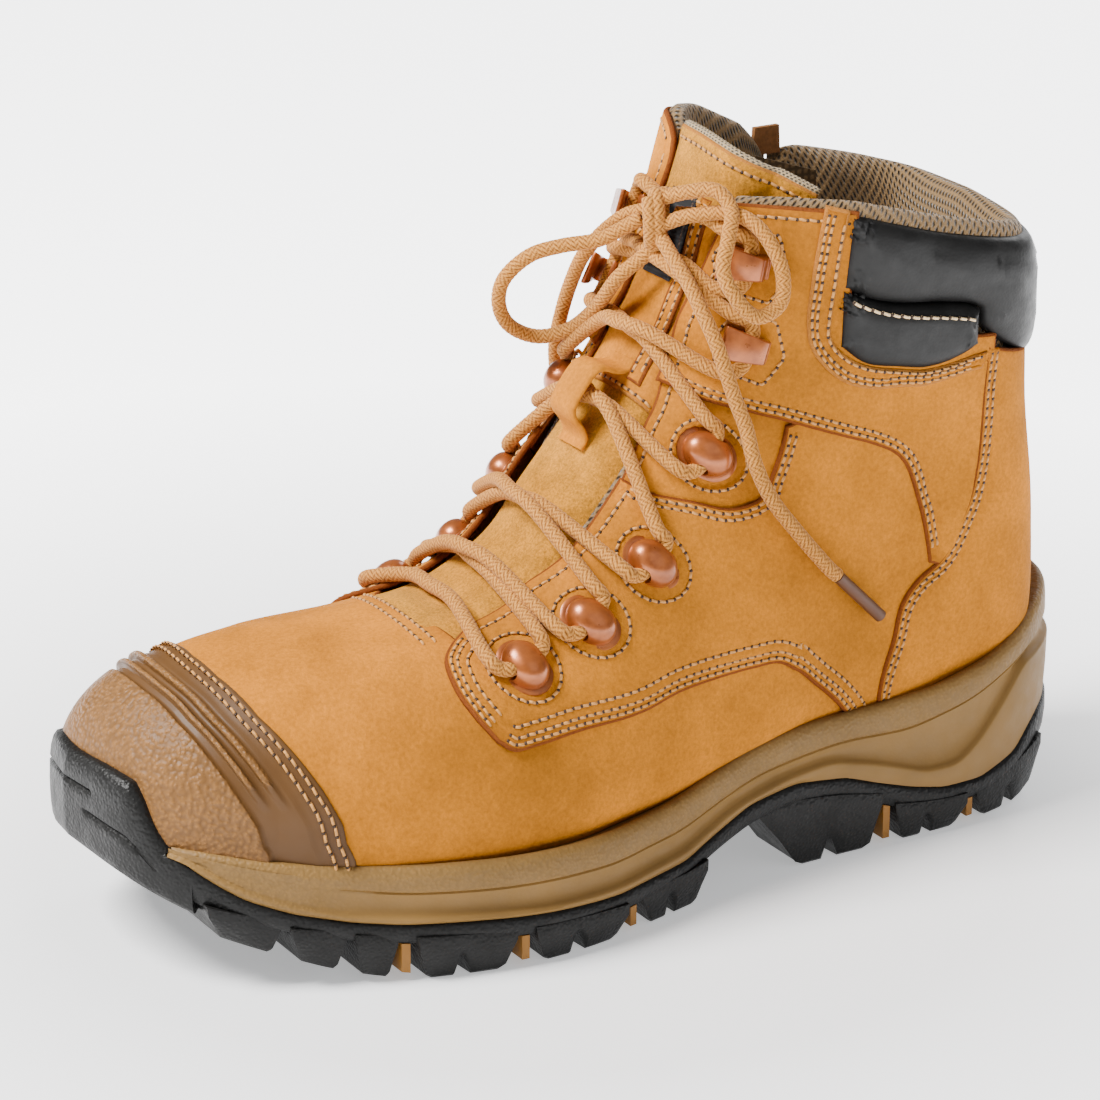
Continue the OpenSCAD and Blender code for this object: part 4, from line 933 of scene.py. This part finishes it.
def add_lining():
    """The mesh lining, which swells behind the padding and rolls over the topline."""
    ts = np.concatenate([np.arange(.135, 1.47, .0125), np.arange(1.47, 1.60, .006),
                         np.arange(1.60, 1.875, .0125)])
    top = np.interp(ts, *zip(*TOPLINE))
    top = np.convolve(np.pad(top, 2, "edge"), np.array([1, 2, 3, 2, 1]) / 9, "valid")
    inner = [(-5.6, -3.2), (-4.8, -3.3), (-4.0, -3.6), (-2.6, -4.6), (-1.7, -6.4), (-1.1, -7.6),
             (-.62, -7.9), (-.28, -7.0), (-.05, -5.4), (.07, -3.6), (.10, -1.8), (.07, -.3), (-.02, .7),
             (-.12, 1.0)]
    outer = [(-.2, .2), (-.5, -1.6), (-1.5, -2.5), (-2.3, -2.5), (-3.1, -2.5), (-3.9, -2.5), (-4.7, -2.5),
             (-5.6, -2.5)]
    rows, uv = [], []
    for t, s_top in zip(ts, top):
        swelling = 0.45 + 0.55 * float(ramp(t, .30, .42) * (1 - ramp(t, 1.40, 1.46)))
        ring = [at(s_top + ds, t, max(off, -3) + min(off + 3, 0) * swelling) for ds, off in inner + outer]
        steps = [0] + [float(np.linalg.norm(b - a)) for a, b in zip(ring, ring[1:])]
        rows.append(ring)
        uv.append([(t * 165, v) for v in np.cumsum(steps)])
    loft("lining_mesh", rows, ("mesh",), slot="mesh_lining", replaced=["shaft_lining", "collar_binding"],
         uv=uv)


# ---- Tongue ----
TONGUE_HALF = 0.16


def rolled_edge(name, path, off, radius):
    """Round mesh binding along a path of (s, t) on the tongue."""
    line = at(path[:, 0], path[:, 1], off + tongue_drop(path[:, 0], path[:, 1]))
    out, way = normal(*path.T), unit(np.gradient(line, axis=0))
    side = np.cross(way, out)
    angle = np.linspace(0, 2 * math.pi, 13)[:-1]
    rows = (line[:, None] + radius * (np.cos(angle)[None, :, None] * out[:, None]
                                      + np.sin(angle)[None, :, None] * side[:, None]))
    length = np.arange(len(line)) * 1.2
    uv = np.stack(np.broadcast_arrays(length[:, None], angle[None] * radius * 1.6), -1)
    loft(name, rows, ("binding",), slot="mesh_lining", uv=uv)


def tongue_drop(s, t):
    """The tongue's middle stands proud, and its sides dip under the eyestays."""
    reach = np.abs(t)
    ridge = -0.2 - 2.6 * ramp(reach, 0.095, 0.145) - 4.5 * ramp(t, 0.145, 0.19)
    return ridge + 0.35 * np.sin(s * 5.2) * (1 - ramp(reach, 0.05, 0.12))


def add_tongue():
    def outline(low, high, half):
        return [[(low, -half), (low, 0), (low, half)], [(low, half), ((low + high) / 2, half), (high, half)],
                [(high, half), (high + .12, half * .6), (high + .18, 0), (high + .12, -half * .6),
                 (high, -half)],
                [(high, -half), ((low + high) / 2, -half), (low, -half)]]
    lower = panel("tongue_suede", outline(6.35, 10.75, TONGUE_HALF), 0.0, 3.4, ("suede", "edge"),
                  slot="leather_suede", replaced=["tongue", "tongue_lining"], shape=tongue_drop, uneven=2.2)
    upper = panel("tongue_top",
                  [[(10.7, -.148), (10.7, 0), (10.7, .148)], [(10.7, .148), (12.5, .15), (14.30, .155)],
                   [(14.30, .155), (14.35, 0),
                    (14.40, -.148)], [(14.40, -.148), (12.6, -.148), (10.7, -.148)]],
                  0.9, 3.6, ("nubuck", "edge_light"), slot="leather_suede", shape=tongue_drop, uneven=1.6,
                  stitches={0: [1.6]})
    head = [(14.90, .30), (15.08, .2), (15.24, .1), (15.36, 0), (15.42, -.1), (15.40, -.148)]
    top = panel("tongue_head",
                [[(14.05, -.148), (14.05, 0), (14.05, .155)],
                 [(14.05, .155), (14.25, .22), (14.5, .29), (14.90, .30)],
                 head, [(15.40, -.148), (14.6, -.148), (14.05, -.148)]],
                1.5, 3.6, ("suede", "edge_light"), slot="leather_suede", shape=tongue_drop, uneven=1.6,
                stitches={0: [1.4], 2: [3.2]})
    rolled_edge("tongue_edge", smooth_run(head), -0.6, 1.5)
    panel("tongue_strip",
          [[(10.9, .048), (12.6, .048), (14.3, .048)], [(14.3, .048), (14.3, .088)],
           [(14.3, .088), (12.6, .088), (10.9, .088)], [(10.9, .088), (10.9, .048)]],
          1.6, 0.8, slot="leather_suede", shape=tongue_drop, stitches={0: [1.2], 2: [1.2]})
    panel("tongue_label",
          [[(12.55, -.07), (13.4, -.07), (14.25, -.07)], [(14.25, -.07), (14.25, .04)],
           [(14.25, .04), (13.4, .04), (12.55, .04)], [(12.55, .04), (12.55, -.07)]],
          1.7, 0.9, ("black_weave", "black_weave"), slot="patch", replaced=["tongue_patch"],
          shape=tongue_drop, edge_round=0.3, uneven=0.4, stitches={0: [1.0], 2: [1.0]}, thread="hole")


KEEPER_S = 10.45


def add_keeper():
    """Leather bridge on the tongue that the lace runs through."""
    place, a, b, n = (np.asarray(v) for v in frame_at(KEEPER_S, 0.0, 0.2))
    arch = smooth_arch([(-14, .5), (-11, .8), (-9, 3.6), (-7.4, 8.2), (-4, 9.9), (4, 9.9), (7.4, 8.2),
                        (9, 3.6), (11, .8), (14, .5)])
    lie = np.gradient(arch, axis=0)
    side = unit(np.stack([-lie[:, 1], lie[:, 0]], -1))
    rows = []
    for (along_a, up), out in zip(arch, side):
        ring = []
        for across, depth in [(-6, 0), (-5.6, .7), (-3, .85), (0, .9), (3, .85), (5.6, .7), (6, 0),
                              (5.6, -.6), (-5.6, -.6)]:
            p = np.array([along_a, up]) + out * depth
            ring.append(place + a * p[0] + b * across + n * p[1])
        rows.append(ring)
    loft("keeper_strap", rows, ("nubuck",), slot="leather_nubuck", replaced=["lace_keeper"])


def smooth_arch(points):
    return along(points, np.linspace(0, len(points) - 1, 8 * len(points)))


# ---- Lace hardware ----
DOMES_OUTER = [(7.16, .238), (8.26, .252), (9.34, .267), (10.82, .24)]
DOMES_INNER = [(7.1, -.22), (8.15, -.22), (9.2, -.22), (10.6, -.21)]
HOOKS_OUTER = [(12.39, .223), (13.57, .195)]
HOOKS_INNER = [(12.3, -.20), (13.6, -.18)]
TUNNEL_Z = 2.8
OVERLAY = 0.7
SEWN_ON = 1.3
LACE_R = 2.0


def seat(s):
    """Height of the leather under a dome: the fourth one sits on the inset, which lies lower."""
    return 0.1 if 9.8 < s < 11.2 else OVERLAY


def placed(local, s, t, off):
    """Local points, with x along the throat, y sideways and z outward, set on the upper."""
    place, a, b, n = (np.asarray(v) for v in frame_at(s, t, off))
    local = np.asarray(local, float)
    return place + local[:, :1] * a + local[:, 1:2] * b + local[:, 2:] * n


def cut_with(piece, cutter):
    change = piece.modifiers.new("cut", "BOOLEAN")
    change.operation = "DIFFERENCE"
    change.object = cutter
    change.solver = "EXACT"
    apply_modifiers(piece)
    bpy.data.objects.remove(cutter)


def apply_modifiers(piece):
    bpy.context.view_layer.update()
    graph = bpy.context.evaluated_depsgraph_get()
    made = bpy.data.meshes.new_from_object(piece.evaluated_get(graph))
    piece.modifiers.clear()
    piece.data = made


def bevel(piece, width, segments=2, angle=40):
    change = piece.modifiers.new("bevel", "BEVEL")
    change.width = width * MM
    change.segments = segments
    change.limit_method = "ANGLE"
    change.angle_limit = math.radians(angle)
    apply_modifiers(piece)
    piece.data.polygons.foreach_set("use_smooth", [True] * len(piece.data.polygons))
    piece.data.set_sharp_from_angle(angle=math.radians(50))


def dome_shell(rings=10, sides=40):
    """A full oval cap on a low flange, as local points and faces."""
    profile = [(1.20, -0.6), (1.20, 0.25), (1.12, 0.55), (1.0, 0.65)]
    profile += [(math.cos(k / rings * math.pi / 2) ** 0.8,
                 0.65 + 5.9 * math.sin(k / rings * math.pi / 2) ** 0.9)
                for k in range(1, rings)]
    points = []
    for r, z in profile:
        for j in range(sides):
            angle = 2 * math.pi * j / sides
            points.append((5.8 * r * math.cos(angle), 7.4 * r * math.sin(angle), z))
    points.append((0, 0, 6.55))
    points.append((0, 0, -0.6))
    top, bottom = len(points) - 2, len(points) - 1
    faces = ring_faces(len(profile), sides, capped=False)
    last = (len(profile) - 1) * sides
    faces += [(top, last + j, last + (j + 1) % sides) for j in range(sides)]
    faces += [(bottom, (j + 1) % sides, j) for j in range(sides)]
    return points, faces


def rod(radius, low, high, z, sides=24):
    points = [(x, radius * math.cos(2 * math.pi * j / sides), z + radius * math.sin(2 * math.pi * j / sides))
              for x in (low, high) for j in range(sides)]
    return points, ring_faces(2, sides)


def ring_of_stitches(name, s, t, path, off):
    """A closed row of stitches; path is in millimetres along and across the throat from (s, t)."""
    per_s = np.linalg.norm(skin(s + .05, t) - skin(s - .05, t)) / 0.1
    per_t = np.linalg.norm(skin(s, t + .01) - skin(s, t - .01)) / 0.02
    lean = np.dot(skin(s, t + .01) - skin(s, t - .01), frame_at(s, t, 0)[1]) / 0.02
    dt = path[:, 1] / per_t
    ds = (path[:, 0] - dt * lean) / per_s
    sewn(name, np.stack([s + ds, t + dt], -1), off, 2.4)


def add_domes():
    angles = np.linspace(0, 2 * math.pi, 73)
    oval = np.stack([9.2 * np.cos(angles), 11.0 * np.sin(angles)], -1)
    for side, places in (("lateral", DOMES_OUTER), ("medial", DOMES_INNER)):
        for k, (s, t) in enumerate(places):
            points, faces = dome_shell()
            dome = mesh_object(f"dome_{side}_{k}", placed(points, s, t, seat(s)), faces, ("copper",),
                               slot="copper_metal")
            turn_outward(dome)
            points, faces = rod(2.45, -12, 12, TUNNEL_Z)
            cutter = mesh_object("cutter", placed(points, s, t, seat(s)), faces, ("copper",),
                                 slot="copper_metal", body=None)
            turn_outward(cutter)
            cut_with(dome, cutter)
            dome.data.polygons.foreach_set("use_smooth", [True] * len(dome.data.polygons))
            dome.data.set_sharp_from_angle(angle=math.radians(45))
            ring_of_stitches(f"dome_thread_{side}_{k}", s, t, oval, SEWN_ON + 0.15)
        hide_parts(f"eyelet_domes_{side}")


def hook_block(out):
    """Side profile of a speed hook, wider towards its open end; out is +1 or -1 away from the throat."""
    profile = [(-6.4, -.5), (6.6, -.5), (6.6, .9), (-2.4, .9), (-2.9, 1.5), (-2.9, 4.4), (-2.3, 5.0),
               (4.6, 5.0), (7.4, 6.0), (7.0, 7.0), (4, 6.8), (-3.2, 6.9), (-5.0, 6.1), (-5.6, 4.8),
               (-5.6, .9), (-6.4, .9)]
    points = []
    for edge in (-1, 1):
        for x, z in profile:
            half = 3.0 + 1.7 * (x + 6.4) / 13.8
            points.append((edge * half, out * x, z))
    return points, ring_faces(2, len(profile))


def add_hooks():
    hexagon = np.array([(-8.4, -6), (0, -10), (8.4, -6), (8.4, 7), (0, 11), (-8.4, 7), (-8.4, -6)])
    for side, out, places in (("lateral", 1, HOOKS_OUTER), ("medial", -1, HOOKS_INNER)):
        for k, (s, t) in enumerate(places):
            points, faces = hook_block(out)
            hook = mesh_object(f"hook_{side}_{k}", placed(points, s, t, 2.0), faces, ("copper",),
                               slot="copper_metal")
            turn_outward(hook)
            bevel(hook, 0.55, 3)
            ring_of_stitches(f"hook_thread_{side}_{k}", s, t, resample(hexagon * (1, out), 0.8), 2.1)
        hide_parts(f"lace_hooks_{side}")


# ---- Lace ----
def round_eyelet(e, lift, shift):
    """Way of the lace round one dome or hook, from its lower end to its upper end."""
    place, a, b, n = (np.asarray(v) for v in frame_at(*e, lift))
    g = b if e[1] > 0 else -b
    return [place - 8 * a + 7.5 * g + 3.4 * n, place - 6.5 * a + (1.5 + shift) * g + TUNNEL_Z * n,
            place + shift * g + TUNNEL_Z * n, place + 6.5 * a + (1.5 + shift) * g + TUNNEL_Z * n,
            place + 8 * a + 7.5 * g + 3.4 * n]


def up(e):
    return round_eyelet(e, seat(e[0]), 0)


def down(e):
    return up(e)[::-1]


def hook_up(e):
    return round_eyelet(e, OVERLAY, -1)


def hook_down(e):
    return hook_up(e)[::-1]


def across(s0, s1, side, h):
    rest = 3.6 + (h - 3.6) * 0.7
    return [at(s0 + (s1 - s0) * 0.3, 0.075 * side, rest), at((s0 + s1) / 2, 0.0, h),
            at(s0 + (s1 - s0) * 0.7, -0.075 * side, rest)]


def laced_path():
    outer, inner = DOMES_OUTER, DOMES_INNER
    return ([(-23, 5, 180), (-28, 12, 180)] + hook_down(HOOKS_OUTER[1])
            + across(13.1, 12.7, 1, 3) + hook_down(HOOKS_INNER[0])
            + across(11.8, 11.4, -1, 3) + down(outer[3])
            + across(10.45, 10.45, 1, 2.2) + down(inner[2])
            + across(8.9, 8.6, -1, 7) + down(outer[1])
            + across(7.8, 7.5, 1, 7) + down(inner[0])
            + across(6.9, 6.9, -1, 2.8) + up(outer[0])
            + across(7.5, 7.8, 1, 2.8) + up(inner[1])
            + across(8.6, 8.9, -1, 2.8) + up(outer[2])
            + across(10.4, 10.4, 1, 6.2) + up(inner[3])
            + across(11.4, 11.8, -1, 7.2) + hook_up(HOOKS_OUTER[0])
            + across(12.7, 13.1, 1, 7.2) + hook_up(HOOKS_INNER[1])
            + [(-26, -8, 181), (-22, -2, 180)])


# Free parts of the lace, from the knot outwards, as points in millimetres.
LOOP_LEFT = [(-17, -2, 178), (-13, -6, 174.5), (-8, -10, 171), (0, -16, 169), (7, -21, 166), (12, -26, 159),
             (12, -29, 151), (8, -30, 144), (0, -29, 140), (-6, -22, 143), (-9, -13, 151), (-11, -5, 161),
             (-15, 0, 167), (-19, 3, 171.5)]
LOOP_RIGHT = [(-20, 4, 184.5), (-23, 10, 187), (-28, 17, 188.5), (-30, 22, 184), (-26, 27, 178),
              (-22, 31, 171), (-24, 34, 164), (-30, 35, 158), (-37, 35, 160), (-39, 34, 166), (-38, 32, 173),
              (-35, 27, 180), (-31, 20, 182.5), (-24, 12, 181), (-19, 6, 178)]
TAIL_LATERAL = [(-18, 5, 175), (-18, 11, 171), (-19, 18, 165), (-20, 24, 158), (-22, 28, 150),
                (-24, 30, 142), (-26, 32, 134), (-28, 34, 127), (-29, 37, 118), (-33, 39, 108),
                (-40, 41, 98), (-49, 42, 87), (-53, 42, 83)]
TAIL_MEDIAL = [(-19, -2, 180), (-16, -9, 177), (-13, -16, 171), (-11, -23, 163), (-11, -30, 153),
               (-11, -35, 143), (-11, -38, 134), (-13, -41, 125), (-16, -43, 116), (-20, -45, 106),
               (-23, -46, 96)]
KNOT = np.array([-19.0, 2.0, 178.0])
BRAID_PITCH = 6.5
BRAID_STRANDS = 8
BRAID_SIDES = 32
BRAID_STEP = 0.3


def braid(name, path, replaced):
    """Round braided lace along a path: strands of both hands pass over and under each other."""
    dense = along(np.asarray(path, float), np.linspace(0, len(path) - 1, 24 * (len(path) - 1) + 1))
    centre = resample(dense, BRAID_STEP)
    way = unit(np.gradient(centre, axis=0))
    side = np.zeros_like(centre)
    first = np.cross(way[0], (0, 0, 1) if abs(way[0][2]) < 0.8 else (1, 0, 0))
    side[0] = unit(first)
    for i in range(1, len(centre)):
        side[i] = unit(side[i - 1] - way[i] * np.dot(side[i - 1], way[i]))
    other = np.cross(way, side)
    angle = np.arange(BRAID_SIDES) * 2 * math.pi / BRAID_SIDES
    length = np.arange(len(centre)) * BRAID_STEP
    phase = 2 * math.pi * length[:, None] / BRAID_PITCH
    right = BRAID_STRANDS / 2 * (angle[None] + phase / 2)
    left = BRAID_STRANDS / 2 * (angle[None] - phase / 2)
    over = np.sin(right) * np.sin(left) > 0
    # rise shapes the strands and also colours them in lace_braid: painted highlight on the tops, painted
    # shade between them.
    rise = np.where(over, np.abs(np.sin(right)), np.abs(np.sin(left))) ** 0.8
    r = LACE_R * (0.90 + 0.13 * rise)
    taper = np.ones(len(centre))
    taper[0] = taper[-1] = 0.55
    r = r * taper[:, None]
    ring = (np.cos(angle)[None, :, None] * side[:, None] + np.sin(angle)[None, :, None] * other[:, None])
    rows = centre[:, None] + ring * r[..., None]
    return loft(name, rows, ("braid",), slot="lace", replaced=replaced, rise=rise), centre * MM


def add_laces():
    braid("lace_laced", laced_path(), ["lace_run"])
    turn = []
    for k in range(27):
        angle = 2 * math.pi * k / 13 + 0.6
        turn.append(KNOT + np.array(UP) * 7.2 * math.cos(angle) + np.array(BACK) * 4.6 * math.sin(angle)
                    + np.array(RIGHT) * (-2.1 + 4.2 * k / 26))
    braid("lace_wrap", turn, ["lace_knot"])
    for name, path in (("bow_left", LOOP_LEFT), ("bow_right", LOOP_RIGHT)):
        piece, centre = braid(name, path, [name.replace("bow", "bow_loop")])
    for name, path in (("tail_lateral", TAIL_LATERAL), ("tail_medial", TAIL_MEDIAL)):
        piece, centre = braid(name, path, ["lace_" + name])


# ---- Bottom unit ----
OUTLINE = [(-146, 0, 0), (-142, 15, -15), (-132, 27, -26), (-117, 36, -34), (-96, 41, -39), (-70, 42, -41),
           (-40, 43, -41), (-15, 47, -42), (10, 54, -44), (33, 60, -47), (56, 61, -50), (80, 56, -50.5),
           (101, 48, -50), (118, 41, -47.5), (131, 33, -44.5), (141, 23, -38.5), (148, 11, -29.5),
           (152, -12, -12)]
GUARD_X = 139.3
GUARD_START = 135.5


def line_of(table, blur=5.0):
    """Height along the sole as a smooth function of x."""
    xs, zs = zip(*table)

    def height(x):
        steps = np.linspace(-blur, blur, 9)
        return np.mean([np.interp(np.asarray(x, float) + d, xs, zs) for d in steps], 0)
    return height


MIDSOLE_TOP = line_of([(-150, 62), (-138, 58.5), (-128, 55), (-118, 50.5), (-108, 47), (-89, 43.5),
                       (-67, 42), (-46, 41.5), (-24, 38.5), (0, 32), (18, 30.5), (40, 30.5), (58, 31),
                       (88, 32), (103, 33), (119, 35), (131, 37), (139, 38), (150, 39)])
BAND_LINE = line_of([(-150, 52), (-135, 49), (-119, 43.6), (-101, 37.5), (-78, 33), (-57, 34), (-46, 33),
                     (-26, 30.7), (0, 23.6), (24, 22), (45, 22.7), (68, 23.6), (88, 24.8), (103, 27),
                     (119, 30.8), (131, 34.4), (139, 37.3), (150, 38.7)])
LIP_LINE = line_of([(-150, 45), (-121, 42), (-114, 35), (-103, 24.5), (-95, 19.4), (-84, 19.4), (-68, 25),
                    (-52, 29), (-36, 27.4), (-19, 24), (0, 17), (23, 15), (45, 15.4), (68, 16.8), (88, 18),
                    (100, 19.4), (114, 23.2), (125, 27.6), (131, 31.4), (136, 34.8), (139, 36.8),
                    (150, 38.4)], 3)
MIDSOLE_LOW = line_of([(-150, 27), (-132, 24), (-125, 21), (-118, 16), (-104, 12.5), (-90, 13), (-79, 15.5),
                       (-68, 19), (-57, 23), (-40, 25), (-24, 23), (-12, 18.5), (0, 14), (24, 12.5),
                       (45, 13.5), (68, 15), (88, 16), (100, 17.5), (114, 20.8), (125, 25), (131, 29),
                       (136, 33), (139, 36), (150, 38)], 2)
TREAD_BASE = line_of([(-150, 18), (-132, 15), (-118, 10), (-104, 7.5), (-90, 7.5), (-79, 9), (-68, 13),
                      (-57, 17), (-40, 19.5), (-24, 17.5), (-12, 13.5), (0, 9), (24, 7.5), (45, 8.5),
                      (68, 9.5), (88, 11), (100, 12.5), (112, 15), (125, 19), (132, 22), (140, 26),
                      (147, 30), (155, 36)], 3)
GROUND = line_of([(-150, 18), (-146, 14), (-138, 7), (-128, 2), (-120, 0), (84, 0), (96, 2.2), (106, 5),
                  (118, 9.5), (131, 14.5), (143, 21), (155, 29)], 2)


def outline_sides(count=220):
    """Points of the outer and inner edge of the sole with their outward directions."""
    index = np.linspace(0, len(OUTLINE) - 1, count)
    rows = along(OUTLINE, index)
    found = []
    for column, side in ((1, 1), (2, -1)):
        path = rows[:, [0, column]]
        lie = np.gradient(path, axis=0)
        out = unit(np.stack([-lie[:, 1], lie[:, 0]], -1)) * side
        out[0] = (-1, 0)
        out[-1] = (1, 0)
        found.append((path, out))
    return found


def wall_point(path, out, i, off, z):
    return (path[i, 0] + out[i, 0] * off, path[i, 1] + out[i, 1] * off, z)


def add_midsole():
    """Moulded wedge with its bands; their grooves fade out towards the toe."""
    sides = outline_sides()
    stop = int(np.argmax(sides[0][0][:, 0] > GUARD_X + 1.5))
    rows, pebbles = [], []
    for i in range(stop):
        ring, mask = [], []
        for path, out in sides:
            x = path[i, 0]
            top, band, lip, low = (float(f(x)) for f in (MIDSOLE_TOP, BAND_LINE, LIP_LINE, MIDSOLE_LOW))
            middle = (band + lip) / 2
            wall = [(-10, top - 3, 0), (-4.5, top - .9, 1), (-2.8, top - .1, 1), (-1.6, top - .2, 1),
                    (-.8, top - 1.0, 1), (-.2, top - 2.4, 1), (0, (top + band) / 2, 1),
                    (.1, band + 1.0, 1), (-.1, band + .45, 1), (-.9, band, 0), (-.5, band - .5, .2),
                    (-.9, band - 1.2, .2), (-1.5, middle, .15),
                    (-1.2, lip + 1.4, .15), (-.3, lip + .5, .1), (.6, lip, .1), (.9, lip - .7, .1),
                    (.7, (lip + low) / 2, .1), (.2, low + .3, .1), (-1.5, low, .1), (-12, low + .5, 0)]
            plain = float(ramp(x, 92, 112))
            for k in range(6, 19):
                off, z, mark = wall[k]
                wall[k] = (off * (1 - plain) + max(off, -.2) * plain, z, mark)
            points = [wall_point(path, out, i, off, z) for off, z, _ in wall]
            marks = [max(m, plain) for _, _, m in wall]
            ring += points if path is sides[0][0] else points[::-1]
            mask += marks if path is sides[0][0] else marks[::-1]
        rows.append(ring)
        pebbles.append(mask)
    loft("midsole_moulding", rows, ("midsole",), slot="midsole_pu", replaced=["midsole"], smooth_angle=60,
         pebble=pebbles)


def add_plate():
    sides = outline_sides()
    rows = []
    for i in range(len(sides[0][0])):
        ring = []
        for path, out in sides:
            x = path[i, 0]
            low, base = float(MIDSOLE_LOW(x)), float(TREAD_BASE(x))
            wall = [(-3, low + .6), (.1, low + .2), (.9, low - .6), (1.0, (low + base) / 2), (.6, base + .6),
                    (-.2, base)]
            points = [wall_point(path, out, i, off, z) for off, z in wall]
            ring += points if path is sides[0][0] else points[::-1]
        rows.append(ring)
    loft("tread_plate", rows, ("outsole",), slot="rubber_outsole", smooth_angle=50,
         pebble=np.ones((len(rows), len(rows[0]))))


# Edge lugs: rear and front end at the tread's base, and how far each end leans in by the ground.
LUGS_EDGE = [(-132, -102.5, 2, 3), (-98, -73.5, 3, 3), (-68.5, -27, 3, 15), (-7, 16.5, 3, 3),
             (23, 52.5, 3, 3), (58, 84.5, 3, 3), (89, 99.5, 2, 2), (101.5, 115, 2, 2.5), (117, 134, 2, 3)]
LUGS_MIDDLE = [(-120, -104, 12), (-98, -80, 12), (-74, -58, 12), (-6, 14, 12), (20, 36, 18), (42, 58, 19),
               (64, 80, 19), (87, 99, 18), (104, 116, 14)]
LUG_REACH = 22


def edge_lug(path, out, x0, x1, lean0, lean1):
    """Cross-sections of a lug at the sole's edge, from its rear end to its front end."""
    foot0, foot1 = x0 + lean0, x1 - lean1
    notch = 5.2 if foot1 - foot0 > 12 else 0
    rows = []
    for f, cut in ((0, 0), (.08, 0), (.3, 0), (.44, 0), (.52, 1), (.58, 1), (.66, 0), (.85, 0), (.93, 0),
                   (1, 0)):
        x = foot0 + f * (foot1 - foot0)
        spread = (x0 - foot0) * (1 - f) + (x1 - foot1) * f
        near = float(np.interp(x, path[:, 0], np.arange(len(path))))
        y = float(np.interp(x, path[:, 0], path[:, 1]))
        lean = out[min(int(round(near)), len(path) - 1)][1]
        side = 1 if y > 0 else -1
        base, ground = float(TREAD_BASE(x)), max(float(GROUND(x)), 0.0)
        round_end = 0.8 if f in (0, 1) else 0
        low = min(ground + notch * cut + round_end, base - .8)
        rows.append([(x + spread * 1.1, y + lean * 1.2, base + 2.4), (x + spread, y + lean * 1.5, base - .5),
                     (x + spread * .5, y + lean * .6, (base + low) / 2),
                     (x + spread * .1, y - lean * .2, low + .9), (x, y - lean * 1.2, low),
                     (x, y - side * LUG_REACH, ground + round_end),
                     (x + spread, y - side * (LUG_REACH + 2), base + 2.4)])
    return rows


def middle_lug(x0, x1, half):
    """A lug under the middle of the sole: its outline on the ground, then at the tread's base."""
    outline = [(x0 + 2, -half), (x1, -half + 3), (x1 + 2, 0), (x1, half - 3), (x0 + 2, half), (x0, 0)]
    return [[(x, y, max(float(GROUND(x)), 0.0)) for x, y in outline],
            [(x, y, float(TREAD_BASE(x)) + 1) for x, y in outline]]


def add_lugs():
    blocks = [edge_lug(path, out, *lug) for path, out in outline_sides() for lug in LUGS_EDGE]
    blocks += [middle_lug(*lug) for lug in LUGS_MIDDLE]
    points, faces = [], []
    for rows in blocks:
        faces += ring_faces(len(rows), len(rows[0]), len(points))
        points += [p for ring in rows for p in ring]
    lugs = mesh_object("tread_lugs", points, faces, ("outsole",), slot="rubber_outsole", replaced=["outsole"],
                       pebble=np.ones(len(points)))
    turn_outward(lugs)
    bevel(lugs, 0.6, 2, 35)


GUARD_TOP = [(136, 33.5), (139, 36.0), (141, 38.5), (143, 43), (145, 49), (147, 53.5), (150, 55), (153, 55)]


def add_guard():
    """Rubber that wraps up over the toe, with two shallow grooves."""
    (outer, _), (inner, _) = outline_sides(900)
    path = np.vstack([outer, inner[::-1][1:]])
    path = resample(path[path[:, 0] > GUARD_START], 0.9)
    lie = np.gradient(path, axis=0)
    out = unit(np.stack([-lie[:, 1], lie[:, 0]], -1))
    n = len(path)
    rows = []
    for i in range(n):
        x = path[i, 0]
        u = (i / (n - 1) - 0.5) * 2
        low = float(TREAD_BASE(x)) - 3.5
        top = float(np.interp(x, *zip(*GUARD_TOP)))
        height = top - low
        profile = [(-8, 0.1), (-1.0, 0.0), (.2, .04), (.8, .12), (1.1, .24), (1.2, .36), (1.2, .44),
                   (1.2, .47), (1.2, .50), (1.1, .58), (1.0, .68), (.9, .71), (.85, .74), (.5, .84),
                   (-.2, .93), (-1.2, .985), (-2.6, 1.0), (-4.5, .99), (-8, .93)]
        ring = []
        for k, (off, f) in enumerate(profile):
            if k == 7 and -0.75 < u < -0.1 or k == 11 and -0.2 < u < 0.85:
                off -= 1.0
            ring.append((path[i, 0] + out[i, 0] * off, path[i, 1] + out[i, 1] * off, low + f * height))
        rows.append(ring)
    loft("toe_guard", rows, ("outsole",), slot="rubber_outsole", smooth_angle=60, pebble=np.ones((n, 19)))


# ---- CAD nodes that are shown as they are ----
SHOWN = {"tread_inserts": "amber", "shank": "steel", "insole_board": "board", "footbed": "foam",
         "steel_toe_cap": "steel", "vamp_lining": "cloth", "counter_stiffener": "stiffener",
         "ankle_padding": "board", "tongue_gusset": "suede", "eyelet_washers": "steel",
         "zip_tape": "tape", "zip_teeth": "brass", "zip_stops": "brass", "zip_guard": "cloth",
         "zip_tab": "brown_leather", "zip_slider": "brass", "zip_pull": "brass",
         "aglet_lateral": "aglet", "aglet_medial": "aglet"}


def dress_cad_nodes():
    for name, key in SHOWN.items():
        mesh = NODES[name].data
        mesh.materials.clear()
        mesh.materials.append(LOOKS[key])


def add_floor():
    size = 6000
    floor = mesh_object("floor", [(-size, -size, 0), (size, -size, 0), (size, size, 0), (-size, size, 0)],
                        [(0, 1, 2, 3)], ("floor",), slot="", body=None, smooth=False)


add_camera()
add_studio()
add_laces()
add_bumper()
add_vamp()
add_quarters()
add_insets()
add_bands()
add_counter()
add_strip()
add_pads()
add_lining()
add_tongue()
add_keeper()
add_domes()
add_hooks()
add_midsole()
add_plate()
add_lugs()
add_guard()
dress_cad_nodes()
add_floor()
